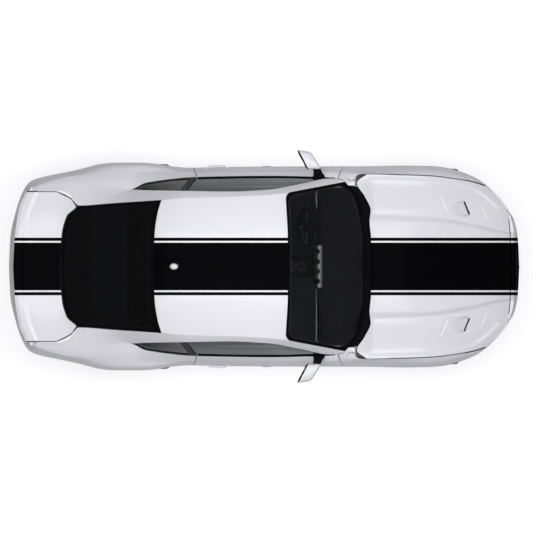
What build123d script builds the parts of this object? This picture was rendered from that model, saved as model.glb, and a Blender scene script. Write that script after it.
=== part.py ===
from build123d import *
import os
from bisect import bisect_right
from math import atan2, cos, degrees, hypot, radians, sin

# A two-door fastback muscle car. Millimetres: +X forward, +Y to the car's left, +Z up,
# with the origin on the ground under the middle of the car.
# The body is described by its widest outline seen from above, by how far each height stands
# inside that outline, and by a few curves that the panels share. Panels are sheets between them.

# ---------------------------------------------------------------- driving dimensions
FRONT_AXLE_X = 1490
WHEELBASE = 2720
REAR_AXLE_X = FRONT_AXLE_X - WHEELBASE
TRACK = {"front": 1582, "rear": 1648}
TYRE_R = {"front": 343, "rear": 351}
TYRE_W = {"front": 255, "rear": 275}
RIM_R = 245
RIM_BEAD_W = 232
RIM_WALL = 9
BEAD_FIT = 0.2             # between rim and tyre
ARCH_CLEARANCE = 42        # between tyre tread and wheel arch edge
LINER_CLEARANCE = 62       # between tyre tread and wheel arch liner
LINER_T = 4

SILL_BOTTOM = 155
SILL_TOP = 262
BUMPER_TOP = 697           # height of the seam between rear bumper and quarter panel
REAR_BUMPER_BOTTOM = 225
SEAM = 8.2                 # gap round doors, bonnet and boot lid
TOUCH = 0.4                # gap between fixed panels that rest against each other
BODY_T = 50                # quarter panel and roof rail, inner and outer skin together
SILL_T = 115
FENDER_T = 8
BUMPER_T = 18
DOOR_T = 110
ROOF_T = 30
LID_T = 14
GLASS_T = 5
FLOOR_T = 14

DOOR_HINGE_BACK = 114      # hinge axis behind the door's front edge, so that the edge swings in
DOOR_HINGE_Y = 905
DOOR_HINGE_Z = (430, 660)
HINGE_PIN_R = 7
HINGE_STRAP = 10
PIN_FIT = 0.05
SIDE_FIT = 0.5
DOOR_FRONT_X = 780
DOOR_REAR_X = -667

BONNET_HINGE_X = 905
BONNET_HINGE_DROP = 27     # hinge axis below the bonnet's surface
BOOT_HINGE = (-1660, 560, 1040)
PLATE_Z, PLATE_SPACING, PLATE_HOLE_R = 500, 178, 3
STEER_INSET = 60           # steering axis inboard of the wheel's middle

# ---------------------------------------------------------------- tables of the body's shape
# x, half width: the widest outline seen from above, from the tail's middle to the nose's middle
OUTLINE = [(-2395, 0), (-2383, 263), (-2328, 526), (-2272, 685), (-2216, 779), (-2159, 816),
           (-2047, 849), (-1878, 882), (-1709, 920), (-1540, 962), (-1400, 975), (-1180, 975),
           (-1033, 967), (-864, 940), (-700, 928), (-300, 936), (300, 939), (880, 941),
           (1300, 948), (1501, 948), (1670, 934), (1782, 910), (1895, 873), (2007, 821),
           (2120, 732), (2233, 591), (2345, 441), (2383, 260), (2395, 0)]
# heights, and how far the skin stands inside the outline at each of them
LEVELS = (150, 210, 270, 330, 450, 560, 640, 700, 740, 800, 870)
INSETS = [  # x of the place on the outline, insets at LEVELS
    (-2395, (95, 70, 45, 22, 3, 0, 12, 42, 50, 54, 54)),
    (-2216, (95, 75, 50, 25, 5, 0, 10, 25, 32, 40, 46)),
    (-1900, (90, 70, 46, 25, 8, 2, 0, 2, 6, 16, 30)),
    (-1240, (75, 62, 40, 22, 8, 4, 1, 0, 0, 4, 20)),
    (-640, (72, 60, 34, 14, 6, 6, 5, 1, 0, 8, 36)),
    (700, (72, 60, 34, 14, 6, 8, 8, 2, 0, 8, 44)),
    (1490, (70, 58, 34, 16, 6, 2, 0, 0, 5, 26, 84)),
    (2120, (95, 60, 40, 22, 5, 0, 2, 8, 24, 85, 120)),
    (2395, (70, 45, 25, 12, 0, 0, 8, 34, 84, 120, 150))]
# curves that panels share on the left side: x, y, z
CREASE = [(-2187, 743, 1000), (-2127, 770, 1000), (-1925, 826, 985), (-1741, 858, 968),
          (-1430, 884, 940), (-1263, 888, 930), (-900, 900, 895), (-600, 890, 890)]
BELT = [(-2187, 738, 1018), (-2127, 748, 1026), (-1925, 755, 1032), (-1741, 745, 1040),
        (-1430, 738, 1042), (-1263, 722, 1034), (-1105, 787, 1016), (-626, 840, 985),
        (55, 851, 957), (675, 833, 936), (800, 806, 940)]
RAIL = [(-2187, 728, 1032), (-2127, 722, 1040), (-1925, 728, 1047), (-1741, 655, 1075),
        (-1430, 668, 1100), (-1263, 722, 1034), (-1105, 716, 1104), (-900, 712, 1190),
        (-724, 710, 1250), (-339, 704, 1284), (55, 723, 1262), (337, 774, 1128),
        (618, 826, 968), (800, 803, 944)]
EDGE = [(-2187, 712, 1042), (-2127, 707, 1048), (-1925, 707, 1055), (-1841, 688, 1062),
        (-1741, 573, 1094), (-1430, 594, 1166), (-1263, 605, 1208), (-963, 625, 1284),
        (-724, 646, 1318), (-339, 656, 1336), (0, 672, 1328), (200, 690, 1298),
        (340, 716.5, 1212.75), (480, 743, 1127.5), (620, 769.5, 1042.25), (760, 796, 957)]
FENDER_SEAM = [(820, 800, 955), (868, 850, 956), (905, 867, 955), (994, 873, 946), (1250, 866, 917),
               (1557, 856, 875), (1810, 826, 822), (1950, 800, 787), (2092, 757, 748)]
CENTRE = [(-1905, 0, 1080), (-1600, 0, 1162), (-1300, 0, 1240), (-1036, 0, 1301), (-750, 0, 1353),
          (-500, 0, 1375), (-300, 0, 1380), (-100, 0, 1373), (100, 0, 1348), (224, 0, 1322)]
BONNET_CENTRE = [(1003, 0, 1000), (1250, 0, 965), (1500, 0, 925), (1750, 0, 882),
                 (2000, 0, 836), (2150, 0, 802), (2250, 0, 772), (2317, 0, 742)]
# half width, x: edges that cross the car
BONNET_REAR = [(0, 1003), (263, 1003), (425, 990), (526, 1000), (657, 945), (784, 870), (862, 960)]
BONNET_FRONT = [(0, 2317), (263, 2309), (520, 2283), (640, 2205), (757, 2085)]
GLASS_TOP = [(0, 224), (300, 222), (500, 212), (690, 200)]
GLASS_BOTTOM = [(0, 960), (300, 955), (500, 925), (650, 880), (796, 760)]
REAR_GLASS_TOP = [(0, -1036), (300, -1028), (500, -1000), (625, -963)]
REAR_GLASS_BOTTOM = [(0, -1905), (300, -1888), (470, -1838), (563, -1735)]
LID_FRONT = [(0, -1917), (300, -1900), (480, -1850), (565, -1765), (632, -1812), (699, -1945)]
LID_LIP = [(0, -2355), (263, -2341), (554, -2298), (699, -2236)]
LID_CENTRE = [(-2360, 0, 1096), (-2244, 0, 1072), (-2127, 0, 1068), (-2000, 0, 1072), (-1915, 0, 1078),
              (-1741, 0, 1104)]
# x at which the shared curves have corners, so that neighbouring panels follow the same chords
STATIONS = (-2187, -2127, -1925, -1841, -1741, -1600, -1430, -1263, -1105, -963, -820, -760,
            -339, 0, 200, 340, 480, 620, 760, 905, 950, 1000, 1200, 1490, 1700, 1800, 1905, 2092)
# x, half width at the door glass and the door's cuts: height, x
FRONT_CUT = [(SILL_TOP, DOOR_FRONT_X), (700, DOOR_FRONT_X), (936, 690)]
REAR_CUT = [(SILL_TOP, DOOR_REAR_X), (740, DOOR_REAR_X), (985, DOOR_REAR_X + 41)]


# ---------------------------------------------------------------- curves
def smooth(table, x, column=1):
    """The table's column at x, on a cubic through its rows that never overshoots them."""
    keys = [row[0] for row in table]
    if x <= keys[0]:
        return table[0][column]
    if x >= keys[-1]:
        return table[-1][column]
    slopes = [(table[i + 1][column] - table[i][column]) / (keys[i + 1] - keys[i])
              for i in range(len(keys) - 1)]

    def tangent(i):
        if i in (0, len(keys) - 1):
            return slopes[min(i, len(slopes) - 1)]
        before, after = slopes[i - 1], slopes[i]
        return 0 if before * after <= 0 else 2 * before * after / (before + after)

    i = bisect_right(keys, x) - 1
    h = keys[i + 1] - keys[i]
    t = (x - keys[i]) / h
    return (table[i][column] * (2 * t**3 - 3 * t**2 + 1) + tangent(i) * h * (t**3 - 2 * t**2 + t)
            + table[i + 1][column] * (3 * t**2 - 2 * t**3) + tangent(i + 1) * h * (t**3 - t**2))


def straight(table, x):
    """The table's second column at x, on straight lines between its rows."""
    if x <= table[0][0]:
        return table[0][1]
    for (x0, y0), (x1, y1) in zip(table, table[1:]):
        if x <= x1:
            return y0 + (y1 - y0) * (x - x0) / (x1 - x0)
    return table[-1][1]


def mix(a, b, t):
    return a + (b - a) * t


def on(curve, x):
    """The point of a shared curve at x, on straight chords between its stations."""
    i = min(max(bisect_right(STATIONS, x) - 1, 0), len(STATIONS) - 2)
    x0, x1 = STATIONS[i], STATIONS[i + 1]
    t = (x - x0) / (x1 - x0)
    return (x, *[mix(smooth(curve, x0, c), smooth(curve, x1, c), t) for c in (1, 2)])


def path_lengths():
    total, out = 0.0, []
    for i, (x, y) in enumerate(OUTLINE):
        total += hypot(x - OUTLINE[i - 1][0], y - OUTLINE[i - 1][1]) if i else 0.0
        out.append((total, x, y))
    return out


PATH = path_lengths()
PATH_END = PATH[-1][0]


def place(x):
    """The distance along the left outline, from the tail's middle, at which it is at x."""
    low, high = 0.0, PATH_END
    for _ in range(40):
        middle = (low + high) / 2
        low, high = (middle, high) if smooth(PATH, middle) < x else (low, middle)
    return low


def place_y(y, nose):
    """The distance along the outline at half width y, on the nose or on the tail."""
    low, high = (PATH_END, PATH_END - 1000) if nose else (0.0, 1000)
    for _ in range(40):
        middle = (low + high) / 2
        low, high = (middle, high) if smooth(PATH, middle, 2) < y else (low, middle)
    return low


INSET_ROWS = [(place(x), *insets) for x, insets in INSETS[1:-1]]
INSET_ROWS = [(0.0, *INSETS[0][1]), *INSET_ROWS, (PATH_END, *INSETS[-1][1])]


def skin(s, z, depth=0.0):
    """The body side at distance s along the outline and height z, depth inside its surface."""
    inset = smooth([(level, smooth(INSET_ROWS, s, i + 1)) for i, level in enumerate(LEVELS)], z) + depth
    ahead, behind = min(s + 5, PATH_END), max(s - 5, 0)
    tx = smooth(PATH, ahead) - smooth(PATH, behind)
    ty = smooth(PATH, ahead, 2) - smooth(PATH, behind, 2)
    length = hypot(tx, ty)
    if s <= 0 or s >= PATH_END:
        tx, ty, length = 0.0, 1.0 if s <= 0 else -1.0, 1.0
    return (smooth(PATH, s) + ty / length * inset, smooth(PATH, s, 2) - tx / length * inset, z)


def side(x, z, depth=0.0):
    """The body side at x, where it runs nearly straight."""
    return skin(place(x), z, depth)


# ---------------------------------------------------------------- solids
TINY = 1e-2


def triangle(faces, a, b, c):
    a, b, c = Vector(*a), Vector(*b), Vector(*c)
    if (b - a).cross(c - a).length > TINY:
        faces.append(Face(Wire.make_polygon([a, b, c], close=True)))


def sheet(outer, inner, keep=lambda i, j: True):
    """A closed solid between two matching grids of points; keep says which cells are there."""
    cells = {(i, j) for i in range(len(outer) - 1) for j in range(len(outer[0]) - 1) if keep(i, j)}
    faces = []
    for i, j in sorted(cells):
        ring = [(i, j), (i + 1, j), (i + 1, j + 1), (i, j + 1)]
        neighbours = [(i, j - 1), (i + 1, j), (i, j + 1), (i - 1, j)]
        a, b, c, d = [outer[row][k] for row, k in ring]
        e, f, g, h = [inner[row][k] for row, k in ring]
        for corners in ((a, b, c), (a, c, d), (e, g, f), (e, h, g)):
            triangle(faces, *corners)
        for n, neighbour in enumerate(neighbours):
            if neighbour not in cells:
                (r0, k0), (r1, k1) = ring[n], ring[(n + 1) % 4]
                triangle(faces, outer[r1][k1], outer[r0][k0], inner[r0][k0])
                triangle(faces, outer[r1][k1], inner[r0][k0], inner[r1][k1])
    solid = Solid(Shell(faces))
    return solid if solid.volume > 0 else Solid(Shell([-face for face in faces]))


def shifted(grid, dx=0.0, dy=0.0, dz=0.0):
    return [[(x + dx, y + dy, z + dz) for x, y, z in row] for row in grid]


def block(x0, x1, y0, y1, z0, z1):
    return Pos((x0 + x1) / 2, (y0 + y1) / 2, (z0 + z1) / 2) * Box(abs(x1 - x0), abs(y1 - y0), abs(z1 - z0))


def rod(radius, start, end):
    """A round bar between two points."""
    a, b = Vector(*start), Vector(*end)
    return Solid.make_cylinder(radius, (b - a).length, Plane(origin=a, z_dir=(b - a).normalized()))


def other_side(shape):
    return mirror(shape, about=Plane.XZ)


def both(shape):
    """The left piece and its mirror image, as separate solids of one node."""
    return Compound([*shape.solids(), *other_side(shape).solids()])


def strip(points, thickness, y0, y1):
    """A bent plate, seen from the side as a path of x, z points, from y0 to y1."""
    sides = []
    for sign in (1, -1):
        run = []
        for i, (x, z) in enumerate(points):
            before, after = points[max(i - 1, 0)], points[min(i + 1, len(points) - 1)]
            ins, outs = (x - before[0], z - before[1]), (after[0] - x, after[1] - z)
            ins, outs = (ins if i else outs), (outs if i < len(points) - 1 else ins)
            n1 = (-ins[1] / hypot(*ins), ins[0] / hypot(*ins))
            n2 = (-outs[1] / hypot(*outs), outs[0] / hypot(*outs))
            share = thickness / 2 / (1 + n1[0] * n2[0] + n1[1] * n2[1])
            run.append((x + sign * share * (n1[0] + n2[0]), z + sign * share * (n1[1] + n2[1])))
        sides.append(run)
    outline = sides[0] + sides[1][::-1]
    plate = extrude(make_face(Polyline(*outline, outline[0])), amount=y1 - y0)
    return across(plate, y1)


def across(plate, y1):
    """Turns a plate drawn in x, y and raised along z into one drawn in x, z that ends at y1."""
    return Pos(0, y1, 0) * Rot(90, 0, 0) * plate


def arch(which, x, radius, y0, y1):
    return rod(radius, (x, y0, TYRE_R[which]), (x, y1, TYRE_R[which]))


AXLE_X = {"front": FRONT_AXLE_X, "rear": REAR_AXLE_X}
AXLE_Z = TYRE_R
ARCH_R = {end: TYRE_R[end] + ARCH_CLEARANCE for end in TYRE_R}
LINER_R = {end: TYRE_R[end] + LINER_CLEARANCE for end in TYRE_R}
WHEEL_Y = {end: TRACK[end] / 2 for end in TRACK}


# ---------------------------------------------------------------- body side
SIDE_LEVELS = (SILL_BOTTOM, SILL_TOP, 450, BUMPER_TOP + TOUCH, 770, 860)
ROW_CREASE = len(SIDE_LEVELS)
ROW_BELT, ROW_RAIL, ROW_EDGE = ROW_CREASE + 1, ROW_CREASE + 2, ROW_CREASE + 3
PILLAR_W = 60              # body pillar behind the door glass
ANTENNA_X = -847


REAR_STATIONS = STATIONS[:10]
OPENING_STATIONS = STATIONS[12:18]
WINDOW_LEAN = ((985, DOOR_REAR_X + 41), (1250, -724), (1320, -750))
PILLAR_FOOT_X = 752        # front end of the roof rail, at the foot of the windscreen pillar
TAIL_X = -2216             # place on the outline where the quarter panel meets the tail
TAIL_ENDS = ((0, 1000), (8, 1018), (18, 1032), (34, 1042))  # depth and height of the curves' ends there


def rear_cut(z):
    """The rear edge of the door below the belt, and of its glass above it."""
    return straight(REAR_CUT, z) if z < 985 else straight(WINDOW_LEAN, z)


def body_side():
    """Sill, quarter panel, rear pillar and roof rail of the left side, in one piece."""
    row_z = {ROW_CREASE: 890, ROW_BELT: 985, ROW_RAIL: 1250, ROW_EDGE: 1320}
    columns = ([lambda z, x=x: x for x in REAR_STATIONS]
               + [lambda z: rear_cut(z) - SEAM - PILLAR_W, lambda z: rear_cut(z) - SEAM]
               + [lambda z, x=x: x for x in OPENING_STATIONS]
               + [lambda z: straight(FRONT_CUT, z) + SEAM if z < 940 else PILLAR_FOOT_X, lambda z: 1085])
    pillar, door_rear, door_front = len(REAR_STATIONS), len(REAR_STATIONS) + 1, len(columns) - 2
    outer, inner = [], []
    for k, column in enumerate(columns):
        out_points, in_points = [], []
        for row in range(ROW_EDGE + 1):
            if row < ROW_CREASE:
                z = SIDE_LEVELS[row]
                s = place(TAIL_X if k == 0 else column(z))
                out_points.append(skin(s, z))
                in_points.append(skin(s, z, SILL_T if row < 2 else BODY_T))
                continue
            curve = (CREASE, BELT, RAIL, EDGE)[row - ROW_CREASE]
            x, y, z = on(curve, column(row_z[row]))
            thickness = BODY_T * (0.25 if k == door_front else 1)
            inward, down = ((0.8, 0.6), (0.8, 0.6), (0.8, 0), (0, 1))[row - ROW_CREASE]
            if row == ROW_RAIL and x < -1300:
                inward, down = 0.1, 1
            if k == 0:
                depth, z = TAIL_ENDS[row - ROW_CREASE]
                x, y, z = skin(place(TAIL_X), z, depth)
                out_points.append((x, y, z))
                in_points.append((x, y, z - BODY_T) if row == ROW_EDGE
                                 else skin(place(TAIL_X), z - BODY_T * 0.4, BODY_T))
                continue
            out_points.append((x, y, z))
            in_points.append((x, y - inward * thickness, z - down * thickness))
        outer.append(out_points)
        inner.append(in_points)

    def keep(k, row):
        if k >= door_front:
            return row < 1
        if k >= door_rear:
            return row < 1 or row >= ROW_RAIL
        if row < 3 and k < pillar and REAR_STATIONS[k] < -1500:
            return False
        return not (row == ROW_BELT and REAR_STATIONS.index(-1263) <= k < pillar)

    shell = sheet(outer, inner, keep)
    return shell - arch("rear", REAR_AXLE_X, ARCH_R["rear"], 500, 1100)


def hinge_post():
    """The post between sill and windscreen pillar, with the plates that hold the door's pins."""
    x, face = DOOR_FRONT_X + 15, 836
    post = block(x, x + 65, face - 75, face, SILL_BOTTOM + 20, 870)
    post += block(722, x + 55, 761, 800, 860, 946)
    for z in DOOR_HINGE_Z:
        post += hinge_leaf(z, face)
    return post


def hinge_leaf(z, face):
    """A cranked arm from the post round the door's front corner to the pin inside the door."""
    pin_x = DOOR_FRONT_X - DOOR_HINGE_BACK
    bend = (pin_x + 53.7, DOOR_HINGE_Y - 115)
    leaf = make_face(Polyline((pin_x - 8, DOOR_HINGE_Y), (pin_x + 8, DOOR_HINGE_Y + 2), (bend[0] + 9, bend[1] + 8),
                              (DOOR_FRONT_X + 18, face - 4), (DOOR_FRONT_X + 18, face - 20), (bend[0] - 2, bend[1] - 8),
                              (pin_x - 8, DOOR_HINGE_Y)))
    leaf = Pos(0, 0, z - HINGE_STRAP / 2) * extrude(leaf, amount=HINGE_STRAP, dir=(0, 0, 1))
    leaf += rod(15, (pin_x, DOOR_HINGE_Y, z - HINGE_STRAP / 2), (pin_x, DOOR_HINGE_Y, z + HINGE_STRAP / 2))
    return leaf - rod(HINGE_PIN_R + PIN_FIT, (pin_x, DOOR_HINGE_Y, z - 20), (pin_x, DOOR_HINGE_Y, z + 20))


# ---------------------------------------------------------------- doors
DOOR_STATIONS = (None, -339, 0, 200, 340, 480, 620, None)


def door():
    """The left door: one panel as thick as the whole door, with a pocket and a pin for each hinge."""
    levels = (SILL_TOP + SEAM, 450, 620, 700, 740, 810, 880)
    outer, inner = [], []
    last = len(DOOR_STATIONS) - 1
    for k, station in enumerate(DOOR_STATIONS):
        out_points, in_points = [], []
        for z in levels:
            x = {0: straight(REAR_CUT, z), last: straight(FRONT_CUT, z)}.get(k, station)
            y = side(x, z)[1]
            out_points.append((x, y, z))
            in_points.append((x, y - DOOR_T, z))
        x, y, z = on(BELT, {0: REAR_CUT[-1][1], last: FRONT_CUT[-1][1]}.get(k, station))
        out_points.append((x, y, z))
        in_points.append((x, y - DOOR_T * 0.7, z))
        outer.append(out_points)
        inner.append(in_points)
    panel = sheet(outer, inner)
    pin_x = DOOR_FRONT_X - DOOR_HINGE_BACK
    for z in DOOR_HINGE_Z:
        panel -= block(pin_x - 21, DOOR_FRONT_X + 20, 780, DOOR_HINGE_Y + 15.5, z - 22, z + 22)
        panel += rod(HINGE_PIN_R, (pin_x, DOOR_HINGE_Y, z - 23), (pin_x, DOOR_HINGE_Y, z + 23))
    return panel + door_handle()


def door_handle():
    """A grip that stands off the skin at two feet."""
    x0, x1, z = -545, -330, 800
    y = side(x0, z)[1]
    stand_off, grip = 22, 12
    middle = (x0 + x1) / 2
    points = [(x0, y - 6), (x0 + 45, y + stand_off), (x1 - 45, y + stand_off), (x1, y - 6)]
    bow = [*points, (x1 - 22, y - 6), (x1 - 55, y + stand_off - grip), (x0 + 55, y + stand_off - grip),
           (x0 + 22, y - 6), points[0]]
    return Pos(0, 0, z - 11) * extrude(make_face(Polyline(*bow)), amount=22)


GLASS_SET_BACK = 12        # glass inboard of the belt line


def glass_sheet(lower, upper, steps):
    """A side window between two lists of points."""
    outer = [[tuple(mix(a, b, t / steps) for a, b in zip(low, high)) for t in range(steps + 1)]
             for low, high in zip(lower, upper)]
    return sheet(outer, shifted(outer, dy=-GLASS_T))


def side_window(low_xs, high_xs, low_gap, high_gap):
    lower, upper = [], []
    for low_x, high_x in zip(low_xs, high_xs):
        x, y, z = on(BELT, low_x)
        lower.append((x, y - GLASS_SET_BACK, z + low_gap))
        x, y, z = on(RAIL, high_x)
        upper.append((x, y - 4, z - high_gap))
    return glass_sheet(lower, upper, 2)


def door_window():
    """The frameless door glass, from the belt to just under the roof rail."""
    return side_window((DOOR_REAR_X + 41, -339, 0, 200, 340, 480, 600, 640),
                       (-724, -339, 0, 200, 340, 480, 600, 606), TOUCH, SEAM)


def rear_side_window():
    """The fixed glass behind the door."""
    return side_window((DOOR_REAR_X + 41 - SEAM - PILLAR_W - 4, -963, -1105, -1215),
                       (-724 - SEAM - PILLAR_W - 4, -963, -1105, -1215), TOUCH, TOUCH)


# ---------------------------------------------------------------- roof and glass
def ruled(bottom, top, rows, columns, bulge):
    """Points from one edge across the car to another; edges are x by half width, z by half width."""
    grid = []
    for j in range(-columns, columns + 1):
        u = j / columns
        low = edge_point(*bottom, abs(u))
        high = edge_point(*top, abs(u))
        line = []
        for i in range(rows + 1):
            t = i / rows
            x, y, z = [mix(a, b, t) for a, b in zip(low, high)]
            lift = bulge * 4 * t * (1 - t) * (1 - abs(u)**3)
            line.append((x, y if u >= 0 else -y, z + lift))
        grid.append(line)
    return grid


def edge_point(edge, heights, u):
    y = u * edge[-1][0]
    return (smooth(edge, y), y, mix(heights[0], heights[1], u**2.2))


WINDSCREEN_BOTTOM_Z = (965, 957)
WINDSCREEN_TOP_Z = (1322, 1298)
REAR_GLASS_TOP_Z = (1301, 1284)
REAR_GLASS_BOTTOM_Z = (1080, 1096)


def inset_edge(edge, gap, forward):
    """An edge shortened sideways and moved by a gap, so that the glass seats inside its opening."""
    return [(y * (1 - gap / edge[-1][0]), x + forward) for y, x in edge]


def windscreen():
    grid = ruled((inset_edge(GLASS_BOTTOM, TOUCH, 0), WINDSCREEN_BOTTOM_Z),
                 (inset_edge(GLASS_TOP, TOUCH, TOUCH), WINDSCREEN_TOP_Z), 3, 6, 14)
    return sheet(grid, shifted(grid, dz=-GLASS_T * 1.2))


def rear_window():
    grid = ruled((inset_edge(REAR_GLASS_BOTTOM, TOUCH, 0), REAR_GLASS_BOTTOM_Z),
                 (inset_edge(REAR_GLASS_TOP, TOUCH, -TOUCH), REAR_GLASS_TOP_Z), 3, 6, 10)
    return sheet(grid, shifted(grid, dz=-GLASS_T))


CENTRE_REAR_X, CENTRE_FRONT_X = REAR_GLASS_TOP[0][1], GLASS_TOP[0][1]
ROOF_STATIONS = (-963, -820, -760, -339, 0, 200)


def roof_line():
    """x, z of the roof along the middle of the car."""
    first, last = ROOF_STATIONS[0], ROOF_STATIONS[-1]
    xs = [mix(CENTRE_REAR_X, CENTRE_FRONT_X, (x - first) / (last - first)) for x in ROOF_STATIONS]
    return [(x, smooth(CENTRE, x, 2)) for x in xs]


def roof_panel():
    columns = 6
    side_xs = ROOF_STATIONS
    grid = []
    for j in range(-columns, columns + 1):
        u = j / columns
        front = smooth(GLASS_TOP, abs(u) * GLASS_TOP[-1][0])
        rear = smooth(REAR_GLASS_TOP, abs(u) * REAR_GLASS_TOP[-1][0])
        line = []
        for side_x in side_xs:
            t = (side_x - side_xs[0]) / (side_xs[-1] - side_xs[0])
            _, edge_y, low = on(EDGE, side_x)
            high = smooth(CENTRE, mix(CENTRE_REAR_X, CENTRE_FRONT_X, t), 2)
            line.append((mix(rear, front, t), u * (edge_y - TOUCH), mix(high, low, abs(u)**2.2)))
        grid.append(line)
    return sheet(grid, shifted(grid, dz=-ROOF_T))


# ---------------------------------------------------------------- bonnet and boot lid
BONNET_U = (0, 0.25, 0.47, 0.56, 0.76, 0.93, 1)
DOME = 16                  # height of the raised middle of the bonnet
BONNET_T = 12
BONNET_SIDE = (BONNET_REAR[-1][1], BONNET_FRONT[-1][1])  # x of the bonnet's outer corners
VENT_ENDS = ((1872, 612), (1922, 486))
VENT_W = 16


def bonnet_point(u, v):
    """The bonnet's surface: u across from the middle to the fender, v from the rear to the front."""
    side_x = mix(*BONNET_SIDE, v)
    _, edge_y, edge = on(FENDER_SEAM, side_x)
    edge_y -= SEAM
    x = mix(smooth(BONNET_REAR, abs(u) * BONNET_REAR[-1][0]), smooth(BONNET_FRONT, abs(u) * BONNET_FRONT[-1][0]), v)
    middle_x = mix(BONNET_REAR[0][1], BONNET_FRONT[0][1], v)
    middle = smooth(BONNET_CENTRE, middle_x, 2)
    dome = DOME * (1 - min(1, max(0, (abs(u) - 0.47) / 0.09))) - DOME
    return (x, u * edge_y, mix(middle, edge, abs(u)**2.6) + dome * (1 - abs(u)**4))


def bonnet():
    us = [-u for u in reversed(BONNET_U[1:])] + list(BONNET_U)
    xs = (BONNET_SIDE[0], 1000, 1200, 1490, 1700, 1800, 1905, 2010, BONNET_SIDE[1])
    vs = [(x - xs[0]) / (xs[-1] - xs[0]) for x in xs]
    grid = [[bonnet_point(u, v) for v in vs] for u in us]
    panel = sheet(grid, shifted(grid, dz=-BONNET_T))
    lug_y = 790
    x, z = BONNET_HINGE_X, bonnet_hinge_z()
    for sign in (-1, 1):
        lug = block(x - 2, x + 60, sign * (lug_y - 5), sign * (lug_y + 5), z - 6, z + 14)
        lug += rod(11, (x, sign * (lug_y - 5), z), (x, sign * (lug_y + 5), z))
        panel += lug
        panel -= rod(6 + PIN_FIT, (x, sign * (lug_y - 30), z), (x, sign * (lug_y + 30), z))
    slot = vent_slot()
    return panel - slot - other_side(slot)


def vent_slot():
    """The cut through the left half of the bonnet, behind its scoop."""
    (x0, y0), (x1, y1) = VENT_ENDS
    turn = degrees(atan2(y1 - y0, x1 - x0))
    tall = BONNET_CENTRE[0][2]
    return Pos((x0 + x1) / 2, (y0 + y1) / 2, tall) * Rot(0, 0, turn) * Box(hypot(x1 - x0, y1 - y0), VENT_W, tall)


def bonnet_hinge_z():
    return smooth(FENDER_SEAM, BONNET_HINGE_X, 2) - BONNET_HINGE_DROP


LID_DROP_Y = 400           # half width of the lid's panel between the tail lamps


def lid_height(x, y):
    _, edge_y, edge_z = on(EDGE, x)
    return mix(smooth(LID_CENTRE, x, 2), edge_z, (y / edge_y)**2)


def boot_lid():
    ys = (0, 300, LID_DROP_Y, 480, 565, 632, 699)
    rows = (0.0, 0.25, 0.5, 0.75, 1.0)

    def column(y):
        a = abs(y)
        front, lip = smooth(LID_FRONT, a), smooth(LID_LIP, a)
        top = [(x, y, lid_height(x, a)) for x in (mix(front, lip, t) for t in rows)]
        s = place_y(a, False)
        face = [(skin(s, z)[0], y, z) for z in (1040, 930, 800)]
        return top + [(face[0][0] - 4, y, 1052), *face[1:]]

    signed = [-y for y in reversed(ys[1:])] + list(ys)
    outer = [column(y) for y in signed]
    top_rows = len(rows) - 1
    inner = []
    for line in outer:
        below = [(x, y, z - LID_T) for x, y, z in line[:top_rows]]
        x, y, z = line[top_rows]
        below.append((x + 26, y, z - (30 if abs(y) <= LID_DROP_Y else LID_T + 2)))
        below += [(x + 26, y, z - 6) for x, y, z in line[top_rows + 1:]]
        inner.append(below)

    def keep(j, i):
        narrow = max(abs(signed[j]), abs(signed[j + 1])) <= LID_DROP_Y
        return i <= top_rows or narrow

    lid = sheet(outer, inner, keep)
    hinge_x, hinge_y, hinge_z = BOOT_HINGE
    for sign in (-1, 1):
        path = [(0, 0), (-30, -120), (-130, -120), (-180, lid_height(-1840, hinge_y) - LID_T - hinge_z + 4)]
        arm = strip([(hinge_x + dx, hinge_z + dz) for dx, dz in path], 14, hinge_y - 6, hinge_y + 6)
        arm += rod(15, (hinge_x, hinge_y - 6, hinge_z), (hinge_x, hinge_y + 6, hinge_z))
        arm -= rod(6 + PIN_FIT, (hinge_x, hinge_y - 30, hinge_z), (hinge_x, hinge_y + 30, hinge_z))
        lid += arm if sign > 0 else other_side(arm)
    return lid


# ---------------------------------------------------------------- fenders and bumpers
FENDER_END_X = 1905


def bonnet_edge_z(s):
    """The height of the bumper's top edge, clear below the bonnet."""
    x, y = smooth(PATH, s), smooth(PATH, s, 2)
    corner_x, corner_y, corner_z = FENDER_SEAM[-1]
    middle_z = BONNET_CENTRE[-1][2]
    if y > corner_y:
        return on(FENDER_SEAM, min(x, corner_x))[2] - BONNET_T - 7
    t = y / corner_y
    return mix(middle_z, corner_z, t) - 60 * t * (1 - t) - BONNET_T - 7


def front_fender():
    levels = (SILL_TOP + TOUCH, 400, 520, 640, 700)
    xs = (0, 905, 950, 1000, 1200, 1490, 1700, 1800, FENDER_END_X)
    outer, inner = [], []
    for k, station in enumerate(xs):
        out_points, in_points = [], []
        for z in levels:
            x = station or straight(FRONT_CUT, z) + SEAM
            s = place(x)
            out_points.append(skin(s, z))
            in_points.append(skin(s, z, FENDER_T))
        seam_x = station or 822
        _, seam_y, seam_z = on(FENDER_SEAM, seam_x)
        for share in (0.25, 0.55):
            upper_z = mix(700, seam_z, share)
            s = place(station or straight(FRONT_CUT, upper_z) + SEAM)
            out_points.append(skin(s, upper_z))
            in_points.append(skin(s, upper_z, FENDER_T))
        if station == FENDER_END_X:
            top = bonnet_edge_z(s)
            out_points.append(skin(s, top))
            in_points.append(skin(s, top, FENDER_T))
        else:
            out_points.append((seam_x, seam_y, seam_z))
            in_points.append((seam_x, seam_y - 1, seam_z - FENDER_T - 2))
        outer.append(out_points)
        inner.append(in_points)
    panel = sheet(outer, inner)
    return panel - arch("front", FRONT_AXLE_X, ARCH_R["front"], 500, 1100)


NOSE_TOP = 686
LAMP_LOW = 632


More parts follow.
